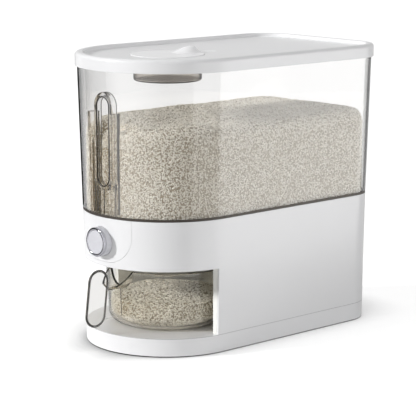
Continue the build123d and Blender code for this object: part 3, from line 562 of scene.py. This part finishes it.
def plain_finish(name, pale, dull, metallic, roughness, grain_mm, depth_mm):
    """A solid finish with a fine grain in its colour, its gloss and its surface."""
    material, tree, output = new_material(name)
    place = add(tree, "TexCoord").outputs["Object"]
    grain = add(tree, "TexNoise", {"Scale": 1 / (grain_mm * MM), "Detail": 4.0}, {"Vector": place})
    shades = {"Color1": linear(pale), "Color2": linear(dull)}
    shade = add(tree, "MixRGB", shades, {"Fac": grain.outputs["Fac"]})
    gloss_ends = {"To Min": roughness * gloss_least, "To Max": roughness * gloss_most}
    gloss = add(tree, "MapRange", gloss_ends, {"Value": grain.outputs["Fac"]})
    relief = {"Strength": 1.0, "Distance": depth_mm * MM}
    bump = add(tree, "Bump", relief, {"Height": grain.outputs["Fac"]})
    shader = add(
        tree,
        "BsdfPrincipled",
        {"Metallic": metallic},
        {"Base Color": shade.outputs[0], "Roughness": gloss.outputs[0], "Normal": bump.outputs[0]},
    )
    tree.links.new(shader.outputs[0], output.inputs["Surface"])
    return material


# painted shade: opaque nearly black lines where thick edges of clear styrene trap light
painted_edge_shade = plain_finish("styrene_dark_edge", "1E1913", "15110C", 0.0, 0.35, 2.0, 0.01)
# chrome plate on plastic: a sharp bright rim
bright_plate = plain_finish("chrome_plated", "B4B4BA", "A6A6AD", 1.0, 0.06, 1.5, 0.004)
# drawn steel wire and screw heads: soft grey highlights
drawn_steel = plain_finish("steel_drawn", "B0B0B2", "97979A", 1.0, 0.32, 0.6, 0.006)
# moulded silicone: pale and matt
seal_rubber = plain_finish("silicone_seal", "D2D2CE", "C6C6C2", 0.0, 0.55, 0.9, 0.01)
# moulded rubber: dark and dusty
foot_rubber = plain_finish("rubber_foot", "474747", "3A3A3A", 0.0, 0.75, 0.5, 0.02)
# ABS deep in a gap: grey, because little light gets in
seam_shade = plain_finish("abs_seam_in_shade", "8E8E90", "868688", 0.0, 0.6, 2.0, 0.01)
# moulded rubber ring, with painted shade of the gap in its dark colour: a dark brown line under the bin
gasket_and_gap_shade = plain_finish("rubber_gasket_gap_shade", "30281F", "241D16", 0.0, 0.6, 0.8, 0.02)
print("small finishes:", bright_plate.name, drawn_steel.name, seal_rubber.name, foot_rubber.name)

# %% [markdown]
# ## Each piece gets its finish
# The record names a material slot for every piece. A table turns slots into finishes, so that a new
# piece needs no new line here. A few pieces differ from the rest of their slot and have their own row.

# %% Give every node its finish
finishes = {
    "white_gloss": gloss_white,
    "white_inner": satin_white,
    "clear_plastic": clear_cup,
    "smoky_plastic": smoky_styrene,
    "bright_ring": bright_plate,
    "seal_rubber": seal_rubber,
    "foot_rubber": foot_rubber,
    "steel": drawn_steel,
}
own_finishes = {
    "button_cap": button_white,
    "desiccant_cap": bright_white,
    "loop_rails": clear_rail,
    "front_loop": clear_loop,
}
for subpart in frame["record"]["subparts"]:
    mesh = nodes[subpart["node"]].data
    mesh.materials.clear()
    mesh.materials.append(own_finishes.get(subpart["node"], finishes[subpart["material_slot"]]))

# %% [markdown]
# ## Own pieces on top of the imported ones
# A piece made here is drawn in mesh code, gets a finish and rides on one of the moving bodies. Its
# faces are shaded smooth, and an edge that turns by more than 35 degrees stays crisp, as on a moulding.

# %% A helper for own pieces
def piece_from(bm, name, material, body, crisp_turn=math.radians(35)):
    """Turns a bmesh into a piece that rides on a body, smooth but for its crisp edges."""
    for face in bm.faces:
        face.smooth = True
    for edge in bm.edges:
        edge.smooth = edge.calc_face_angle(0.0) < crisp_turn
    piece = object_from(bm, name, material)
    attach(piece, body)
    size = [round(v / MM, 1) for v in piece.dimensions]
    print(name, "on", body, "-", len(piece.data.polygons), "faces,", size, "mm")
    return piece


# %% [markdown]
# ## The clear bin
# The bin is one thin-walled moulding, D-shaped in plan: half round in front, straight sides, rounded
# corners at the back. Its walls lean outwards by a few millimetres so that it leaves the mould. Light
# bends strongly in such a wall, and a coarse curve would show as stripes, so the bin is drawn again
# here with finer curves: eight D-shaped rings of edges, joined one to the next into a closed shell.

# %% D-shaped rings
bin_foot_half = 100.0 * MM
bin_foot_back = 254.0 * MM
bin_foot_corner = 40.0 * MM
front_steps = 120
corner_steps = 24


def only(items, kind):
    """The members of a mesh operator's result that are of one kind."""
    return [item for item in items if isinstance(item, kind)]


def arc_from(bm, vert, centre, angle, steps):
    """Turns a vertex about an upright axis into an arc of edges and returns its far end."""
    arc = bmesh.ops.spin(
        bm, geom=[vert], cent=centre, axis=(0, 0, 1), angle=angle, steps=steps, use_merge=False
    )
    return only(arc["geom_last"], bmesh.types.BMVert)[0]


def d_loop(bm, grow, height):
    """A closed D-shaped ring of edges, larger than the bin's foot by an amount all round."""
    known = set(bm.edges)
    half_width = bin_foot_half + grow
    corner = bin_foot_corner + grow
    start = bm.verts.new((-half_width, axis_y, height))
    last = arc_from(bm, start, Vector((0, axis_y, height)), math.pi, front_steps)
    for side, turn in ((1, 0.0), (-1, math.pi / 2)):
        centre = Vector((side * (half_width - corner), axis_y + bin_foot_back + grow - corner, height))
        first = bm.verts.new(centre + Vector((math.cos(turn), math.sin(turn), 0)) * corner)
        bm.edges.new((last, first))
        last = arc_from(bm, first, centre, math.pi / 2, corner_steps)
    bm.edges.new((last, start))
    return [edge for edge in bm.edges if edge not in known]


def join_rings(bm, rings):
    """Joins closed rings of edges one to the next with a band of faces."""
    for ring, following in zip(rings, rings[1:]):
        bmesh.ops.bridge_loops(bm, edges=ring + following)


print("front steps of", round(math.pi * bin_foot_half / front_steps / MM, 1), "mm")

# %% [markdown]
# ## The bin's shell
# The rings go up the outside, over the rim, down the inside and round the spigot that sits in the
# base. The rim and the foot are then rounded a little, because a moulded edge always is, and because
# a rounded edge of clear plastic catches a line of light.

# %% The shell
bin_lean = 4.5 / 167.0
bin_wall = 3.0 * MM
bin_edge_round = 0.8 * MM
gasket_height = 2.9 * MM
bin_floor = base_high.z + 4.0 * MM
ledge_slope = 0.4 * MM
spigot_outer = -3.1 * MM
spigot_inner = -4.9 * MM
wall_crisp_turn = math.radians(12)
foot_level = base_high.z + gasket_height
top_grow = bin_lean * (bin_high.z - base_high.z)
bm = bmesh.new()
rings = [
    d_loop(bm, 0.0, foot_level),
    d_loop(bm, top_grow, bin_high.z),
    d_loop(bm, top_grow - bin_wall, bin_high.z),
    d_loop(bm, -bin_wall, bin_floor),
    d_loop(bm, spigot_inner, bin_floor - ledge_slope),
    d_loop(bm, spigot_inner, bin_low.z),
    d_loop(bm, spigot_outer, bin_low.z + ledge_slope),
    d_loop(bm, spigot_outer, foot_level + ledge_slope),
]
join_rings(bm, rings + rings[:1])
bmesh.ops.bevel(
    bm,
    geom=rings[0] + rings[1] + rings[2],
    offset=bin_edge_round,
    offset_type="OFFSET",
    segments=3,
    profile=0.5,
    affect="EDGES",
    clamp_overlap=True,
    material=-1,
)
bmesh.ops.recalc_face_normals(bm, faces=bm.faces[:])
bin_shell = piece_from(bm, "bin_shell", clear_wall, "base", wall_crisp_turn)
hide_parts("grain_bin")

# %% [markdown]
# ## The line under the bin
# Where the bin meets the base a thin dark line runs all round: the edge of a rubber ring that the bin
# sits on, dark with the painted shade of the gap between bin and base. It lies a little behind the wall,
# and the same D-shaped rings draw it.

# %% The gasket
gasket_setback = -0.5 * MM
bm = bmesh.new()
rings = [
    d_loop(bm, gasket_setback, base_high.z),
    d_loop(bm, gasket_setback, foot_level),
    d_loop(bm, spigot_outer, foot_level + ledge_slope),
    d_loop(bm, spigot_outer, base_high.z),
]
join_rings(bm, rings + rings[:1])
bmesh.ops.recalc_face_normals(bm, faces=bm.faces[:])
piece_from(bm, "bin_gasket", gasket_and_gap_shade, "base")

# %% [markdown]
# ## Painted dark lines on the grip and the loop
# The cup's grip is a clear upright plate with a thick bead round it, and the loop in the bin has a thick
# inner edge. Such edges trap light along their length and show as dark lines. Those lines are painted
# shade here: opaque dark round bars, bent into a slot shape: half a turn, a straight run, half a turn
# and a straight run back.

# %% A bar bent into a slot
bar_sides = 16
bend_steps = 24
same_spot = 0.01 * MM


def slot_bar(centre, up, out, run, bend_radius, bar_radius):
    """A round bar in the shape of a slot, upright along one direction and rounded at both ends."""
    bm = bmesh.new()
    upper = centre + up * run / 2
    lower = centre - up * run / 2
    along = up.to_track_quat("Z", "X").to_matrix().to_4x4()
    place = Matrix.Translation(upper + out * bend_radius) @ along
    bmesh.ops.create_circle(bm, segments=bar_sides, radius=bar_radius, matrix=place)
    first = bm.edges[:]
    turn = {"axis": out.cross(up), "angle": math.pi, "steps": bend_steps, "use_merge": False}
    bend = bmesh.ops.spin(bm, geom=first, cent=upper, **turn)
    side = bmesh.ops.extrude_edge_only(bm, edges=only(bend["geom_last"], bmesh.types.BMEdge))
    moved = only(side["geom"], bmesh.types.BMVert)
    bmesh.ops.translate(bm, verts=moved, vec=-up * run)
    ring = [edge for edge in only(side["geom"], bmesh.types.BMEdge) if set(edge.verts) <= set(moved)]
    bend = bmesh.ops.spin(bm, geom=ring, cent=lower, **turn)
    bmesh.ops.bridge_loops(bm, edges=only(bend["geom_last"], bmesh.types.BMEdge) + first)
    bmesh.ops.remove_doubles(bm, verts=bm.verts[:], dist=same_spot)
    bmesh.ops.recalc_face_normals(bm, faces=bm.faces[:])
    return bm


print("slot bars have", bar_sides, "sides")

# %% [markdown]
# ## The painted line in the grip's bead
# The grip leans back a little with the cup's wall. Its outline comes from the imported piece's box, and
# a dark bar of painted shade runs along the middle of the clear bead, so that the bead still shows round it.

# %% The bead
grip_low, grip_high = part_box("cup_handle")
grip_width = 29.0 * MM
bead_radius = 1.6 * MM
bead_shade_line_radius = 0.75 * MM
grip_lean = math.radians(7)
grip_run = (grip_high.z - grip_low.z - grip_width) / math.cos(grip_lean)
grip_bend = grip_width / 2 - bead_radius
grip_depth = grip_width + grip_run * math.sin(grip_lean)
grip_centre = Vector((0, grip_low.y + grip_depth / 2, (grip_low.z + grip_high.z) / 2))
grip_up = Vector((0, math.sin(grip_lean), math.cos(grip_lean)))
grip_out = Vector((0, -math.cos(grip_lean), math.sin(grip_lean)))
bm = slot_bar(grip_centre, grip_up, grip_out, grip_run, grip_bend, bead_shade_line_radius)
piece_from(bm, "grip_bead_shade_line", painted_edge_shade, "cup")

# %% [markdown]
# ## The painted line at the inner edge of the loop
# The loop stands just inside the bin's front wall. Seen through that wall, the inner edge of its front
# face is the darkest line, so that edge alone gets a dark bar of painted shade.

# %% The loop's edge
loop_low, loop_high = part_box("front_loop")
loop_width = 32.0 * MM
loop_height = 112.0 * MM
loop_bar = 4.5 * MM
edge_radius = 0.75 * MM
loop_bend = loop_width / 2 - loop_bar - edge_radius
loop_run = loop_height - loop_width
loop_centre = Vector((0, loop_low.y, loop_high.z - loop_height / 2))
bm = slot_bar(loop_centre, Vector((0, 0, 1)), Vector((1, 0, 0)), loop_run, loop_bend, edge_radius)
piece_from(bm, "loop_edge_shade_line", painted_edge_shade, "base")

# %% [markdown]
# ## The painted line at the rear edge of the right rail
# Two clear rails flank the loop. Of their many edges, the outer rear one on the right shows as a thin
# upright line against the rice. A slender dark rod paints that line as shade.

# %% The rail's edge
rail_low, rail_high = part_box("loop_rails")
rail_outer = 20.8 * MM
rail_edge_radius = 0.35 * MM
rail_bar = {"radius1": rail_edge_radius, "radius2": rail_edge_radius, "depth": rail_high.z - rail_low.z}
rail_place = Vector((rail_outer, rail_high.y - rail_edge_radius, (rail_low.z + rail_high.z) / 2))
bm = bmesh.new()
bmesh.ops.create_cone(bm, cap_ends=True, segments=12, matrix=Matrix.Translation(rail_place), **rail_bar)
piece_from(bm, "rail_edge_shade_line", painted_edge_shade, "base")

# %% [markdown]
# ## The seam above the plinth
# The base is closed from below by a tray, and the two mouldings meet in a hairline gap. The gap is a
# narrow band cut from a copy of the tray's own wall, just below its upper rim, and it lies in shade.
# Two plane cuts take away what is below and above the band, so it follows the wall exactly.

# %% The seam
seam_height = 0.35 * MM
seam_lift = 0.04 * MM
rim_allowance = 0.01 * MM
tray_same_spot = 0.005 * MM
tray_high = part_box("base_tray")[1]
bm = bmesh.new()
bm.from_mesh(nodes["base_tray"].data)
bmesh.ops.transform(bm, matrix=nodes["base_tray"].matrix_world, verts=bm.verts[:])
bmesh.ops.remove_doubles(bm, verts=bm.verts[:], dist=tray_same_spot)
for level, keep_up in ((tray_high.z - seam_height, True), (tray_high.z - rim_allowance, False)):
    bmesh.ops.bisect_plane(
        bm,
        geom=bm.verts[:] + bm.edges[:] + bm.faces[:],
        plane_co=(0, 0, level),
        plane_no=(0, 0, 1),
        clear_inner=keep_up,
        clear_outer=not keep_up,
    )
bm.normal_update()
for vert in bm.verts:
    vert.co += vert.normal * seam_lift
piece_from(bm, "plinth_seam", seam_shade, "base")

# %% [markdown]
# ## The return spring
# A coil of drawn wire round the stem pushes the button back. It is wound by turning a small circle along
# a screw path: each step turns it a little and moves it a little along the stem.

# %% The coil
spring_low, spring_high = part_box("return_spring")
wire = 1.2 * MM
wire_sides = 10
coil_turns = 5
coil_steps = 24 * coil_turns
coil_radius = (spring_high.x - spring_low.x - wire) / 2
coil_length = spring_high.y - spring_low.y
coil_height = (spring_low.z + spring_high.z) / 2
coil_step = Vector((0, (coil_length - wire) / coil_steps, 0))
bm = bmesh.new()
coil_start = Matrix.Translation((coil_radius, spring_low.y + wire / 2, coil_height))
bmesh.ops.create_circle(bm, segments=wire_sides, radius=wire / 2, matrix=coil_start)
bmesh.ops.spin(
    bm,
    geom=bm.edges[:],
    cent=(0, 0, coil_height),
    axis=(0, 1, 0),
    dvec=coil_step,
    angle=2 * math.pi * coil_turns,
    steps=coil_steps,
)
bmesh.ops.holes_fill(bm, edges=[edge for edge in bm.edges if edge.is_boundary], sides=wire_sides)
bmesh.ops.recalc_face_normals(bm, faces=bm.faces[:])
coil = piece_from(bm, "return_coil", drawn_steel, "base")
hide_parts("return_spring")
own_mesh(coil)

# %% [markdown]
# ## Polished rice
# White rice is a heap of small pearly grains, a few millimetres long. Light sinks into the gaps between
# them, so a heap is darker and warmer than one grain. The heap is therefore two things here: a solid
# body painted in the shade of the gaps, and one real grain lying on each small face of its skin.

# %% Rice finishes
def rice_finish(name, pale, warm, roughness):
    """Grain by grain, a slightly different shade of polished rice."""
    material, tree, output = new_material(name)
    geometry = add(tree, "NewGeometry")
    shades = {"Color1": linear(pale), "Color2": linear(warm)}
    shade = add(tree, "MixRGB", shades, {"Fac": geometry.outputs["Random Per Island"]})
    shader = add(tree, "BsdfPrincipled", {"Roughness": roughness}, {"Base Color": shade.outputs[0]})
    tree.links.new(shader.outputs[0], output.inputs["Surface"])
    return material


# polished rice: pearly white, no two grains quite alike
rice_grain = rice_finish("rice_polished_grain", "E8E4DA", "DDD7C9", 0.40)
# polished rice in the cup: a little paler, painted lighter to make up for the shade inside the base and the
# tint of the cup's wall
cup_grain_painted_lighter = rice_finish("rice_polished_painted_lighter", "F0ECE2", "E6E0D2", 0.40)
# painted shade: the dim, warm depth between grains
rice_gap_shade = plain_finish("rice_shade_between_grains", "A89C86", "857862", 0.0, 0.8, 3.0, 0.4)
print("rice:", rice_grain.name, cup_grain_painted_lighter.name, rice_gap_shade.name)

# %% [markdown]
# ## An even skin
# Grains need evenly spread places to lie on. A Remesh modifier gives any closed form a skin of small
# faces of one size. The skin is read off into a new mesh, and the draft is thrown away.

# %% Helpers for rice
rice_skin = 1.9 * MM


def even_skin(bm, size):
    """Remeshes a closed form into small even faces of about one size."""
    mesh = bpy.data.meshes.new("skin_draft")
    bm.to_mesh(mesh)
    bm.free()
    draft = bpy.data.objects.new("skin_draft", mesh)
    scene.collection.objects.link(draft)
    remesh = draft.modifiers.new("even", "REMESH")
    remesh.mode = "VOXEL"
    remesh.voxel_size = size
    evaluated = draft.evaluated_get(bpy.context.evaluated_depsgraph_get())
    skin = bmesh.new()
    skin.from_mesh(evaluated.to_mesh())
    evaluated.to_mesh_clear()
    bpy.data.objects.remove(draft)
    bpy.data.meshes.remove(mesh)
    return skin


def smooth_share(value, low, high):
    """0 below low, 1 above high and a smooth rise between."""
    share = min(1.0, max(0.0, (value - low) / (high - low)))
    return share * share * (3 - 2 * share)


print("skin faces of about", round(rice_skin / MM, 1), "mm")

# %% [markdown]
# ## The rice in the bin
# Poured rice fills the bin's D shape and rounds off at its upper edge. The block is made of the same
# D-shaped rings as the bin, a few millimetres inside its wall: one at the bottom and a quarter circle
# of them at the top.

# %% A D-shaped block with rounded upper edges
rice_wall_gap = 6.0 * MM
rice_top = 260.0 * MM
rice_edge_round = 15.0 * MM
rice_round_steps = 6
rice_bottom = bin_low.z + 0.5 * MM
bm = bmesh.new()
rings = [d_loop(bm, -rice_wall_gap, rice_bottom)]
for step in range(rice_round_steps + 1):
    turn = math.radians(90 * step / rice_round_steps)
    inset = rice_wall_gap + rice_edge_round * (1 - math.cos(turn))
    rings.append(d_loop(bm, -inset, rice_top - rice_edge_round * (1 - math.sin(turn))))
join_rings(bm, rings)
for ring in (rings[0], rings[-1]):
    bmesh.ops.edgeloop_fill(bm, edges=ring)
bmesh.ops.recalc_face_normals(bm, faces=bm.faces[:])
heap = even_skin(bm, rice_skin)
print("rice block skin:", len(heap.faces), "faces")

# %% [markdown]
# ## The shape of the heap
# The loop and its rails stand in the rice at the front and keep it back, and the top there lies lower.
# Elsewhere the top is gently uneven. All three are small moves of the skin, so it stays closed.

# %% A hollow at the loop and an uneven top
hollow_depth = 10.5 * MM
hollow_edge = 4.0 * MM
hollow_clearance = 0.5 * MM
hollow_start = 58 * MM
hollow_full = 80 * MM
shoulder_drop = 9.0 * MM
shoulder_width = 14.0 * MM
uneven_height = 2.0 * MM
uneven_width = 60 * MM
uneven_from = rice_top - rice_edge_round - 1 * MM
for vert in heap.verts:
    x, y, z = vert.co
    front = smooth_share(axis_y - y, hollow_start, hollow_full)
    hollow = 1 - smooth_share(abs(x), rail_high.x + hollow_clearance, rail_high.x + hollow_edge)
    shoulder = 1 - smooth_share(abs(x), rail_high.x, rail_high.x + shoulder_width)
    vert.co.y += hollow_depth * front * hollow
    if z > uneven_from:
        unevenness = uneven_height * noise.noise(Vector((x, y, 0)) / uneven_width)
        vert.co.z += unevenness - shoulder_drop * front * shoulder
heap.normal_update()
print("heap top at", round(max(vert.co.z for vert in heap.verts) / MM, 1), "mm")

# %% [markdown]
# ## Grain by grain
# Each small face of the skin gets one grain, laid flat, turned at random and tilted a little. With tens
# of thousands of them a grain has to be plain: a spindle of twelve faces is enough at this size. The
# random draws are seeded, so that every run lays the same heap.

# %% One grain
grain_length = 3.2 * MM
grain_thickness = 1.35 * MM
grain_size = (grain_length, grain_thickness * 1.25, grain_thickness * 1.15)


def grain_mesh():
    """One grain: a four-sided spindle that tapers to both ends."""
    bm = bmesh.new()
    bmesh.ops.create_uvsphere(bm, u_segments=4, v_segments=3, radius=0.5)
    lying = Matrix.Rotation(math.pi / 2, 3, "Y")
    bmesh.ops.rotate(bm, verts=bm.verts[:], cent=(0, 0, 0), matrix=lying)
    bmesh.ops.scale(bm, verts=bm.verts[:], vec=grain_size)
    mesh = bpy.data.meshes.new("grain")
    bm.to_mesh(mesh)
    bm.free()
    return mesh


print("one grain is", [round(v / MM, 1) for v in grain_size], "mm")

# %% [markdown]
# ## Scattering
# No two grains are quite alike in length and girth, and none lies exactly in the middle of its face.
# Each sinks a little into the heap. A heap has too many grains for one mesh, so they are dealt out
# into several pieces.

# %% Scatter the grains over a skin
grain_length_range = (0.85, 1.12)
grain_girth_range = (0.9, 1.1)
grain_tilt = 0.28
grain_jitter = 0.7
grain_sink = 0.2
grains_per_piece = 12000


def scatter_grains(skin, name, finish, body, lowest, seed):
    """Lays one grain on each face of a skin that lies above a level, in pieces of limited size."""
    draw = random.Random(seed)
    grain = grain_mesh()
    spots = [face for face in skin.faces if face.calc_center_median().z > lowest]
    pieces = []
    for start in range(0, len(spots), grains_per_piece):
        bm = bmesh.new()
        for face in spots[start:start + grains_per_piece]:
            lie = face.normal.to_track_quat("Z", "X").to_matrix().to_4x4()
            spin = Matrix.Rotation(draw.uniform(0, math.tau), 4, "Z")
            tilt = Matrix.Rotation(draw.gauss(0, grain_tilt), 4, "Y")
            length = draw.uniform(*grain_length_range)
            width = draw.uniform(*grain_girth_range)
            height = draw.uniform(*grain_girth_range)
            size = Matrix.Diagonal((length, width, height, 1))
            jitter = Vector([draw.uniform(-0.5, 0.5) for _ in range(3)]) * rice_skin * grain_jitter
            sink = face.normal * (-grain_sink * grain_thickness)
            place = Matrix.Translation(face.calc_center_median() + jitter + sink)
            one = grain.copy()
            one.transform(place @ lie @ spin @ tilt @ size)
            bm.from_mesh(one)
            bpy.data.meshes.remove(one)
        pieces.append(piece_from(bm, f"{name}_{len(pieces) + 1}", finish, body))
    bpy.data.meshes.remove(grain)
    return pieces


print("at most", grains_per_piece, "grains in a piece")

# %% [markdown]
# ## Filling the bin
# The heap in the bin is covered first. Its underside can't be seen, so the lowest few millimetres get
# no grains.

# %% Lay the rice in the bin
bin_grain_floor = rice_bottom + 3 * MM
bin_grains = scatter_grains(heap, "bin_rice_grains", rice_grain, "base", bin_grain_floor, seed=11)
piece_from(heap, "bin_rice_heap", rice_gap_shade, "base")
print("bin rice in", len(bin_grains), "pieces of grains and a heap")

# %% [markdown]
# ## The rice in the cup
# The rice that has fallen into the cup is a low round heap with a slight crown. It is turned on the
# cup's axis from half an outline, given an even skin, and covered with grains in the same way. It rides
# on the cup, so it comes out with it.

# %% A low turned heap
cup_rice_radius = 67.9 * MM
cup_rice_top = 54.5 * MM
cup_rice_crown = 4.0 * MM
cup_rice_foot_round = 11.0 * MM
cup_rice_edge_drop = 2 * MM
cup_rice_edge_width = 6 * MM
cup_rice_bottom = cup_low.z + 3.4 * MM
cup_turn_steps = 48
outline = [
    (0, cup_rice_bottom),
    (cup_rice_radius - cup_rice_foot_round, cup_rice_bottom),
    (cup_rice_radius, cup_rice_bottom + cup_rice_foot_round),
    (cup_rice_radius, cup_rice_top - cup_rice_edge_drop),
    (cup_rice_radius - cup_rice_edge_width, cup_rice_top),
    (0, cup_rice_top + cup_rice_crown),
]
bm = bmesh.new()
chain = [bm.verts.new((radius, axis_y, height)) for radius, height in outline]
for vert, following in zip(chain, chain[1:]):
    bm.edges.new((vert, following))
bmesh.ops.spin(
    bm,
    geom=bm.verts[:] + bm.edges[:],
    cent=(0, axis_y, 0),
    axis=(0, 0, 1),
    angle=math.tau,
    steps=cup_turn_steps,
    use_merge=True,
)
bmesh.ops.remove_doubles(bm, verts=bm.verts[:], dist=same_spot)
bmesh.ops.recalc_face_normals(bm, faces=bm.faces[:])
cup_heap = even_skin(bm, rice_skin)
print("cup heap skin:", len(cup_heap.faces), "faces")

# %% [markdown]
# ## Filling the cup
# The cup is looked into from above and from the side, so almost the whole heap gets grains. Its top is
# made a little uneven before they are laid.

# %% Lay the rice in the cup
cup_uneven_height = 1.5 * MM
cup_uneven_width = 30 * MM
cup_uneven_from = cup_rice_top - 3 * MM
cup_grain_floor = cup_rice_bottom + 0.5 * MM
for vert in cup_heap.verts:
    if vert.co.z > cup_uneven_from:
        vert.co.z += cup_uneven_height * noise.noise(vert.co / cup_uneven_width)
cup_heap.normal_update()
cup_grains = scatter_grains(cup_heap, "cup_rice_grains", cup_grain_painted_lighter, "cup", cup_grain_floor, seed=23)
piece_from(cup_heap, "cup_rice_heap", rice_gap_shade, "cup")
print("cup rice in", len(cup_grains), "piece of grains and a heap")
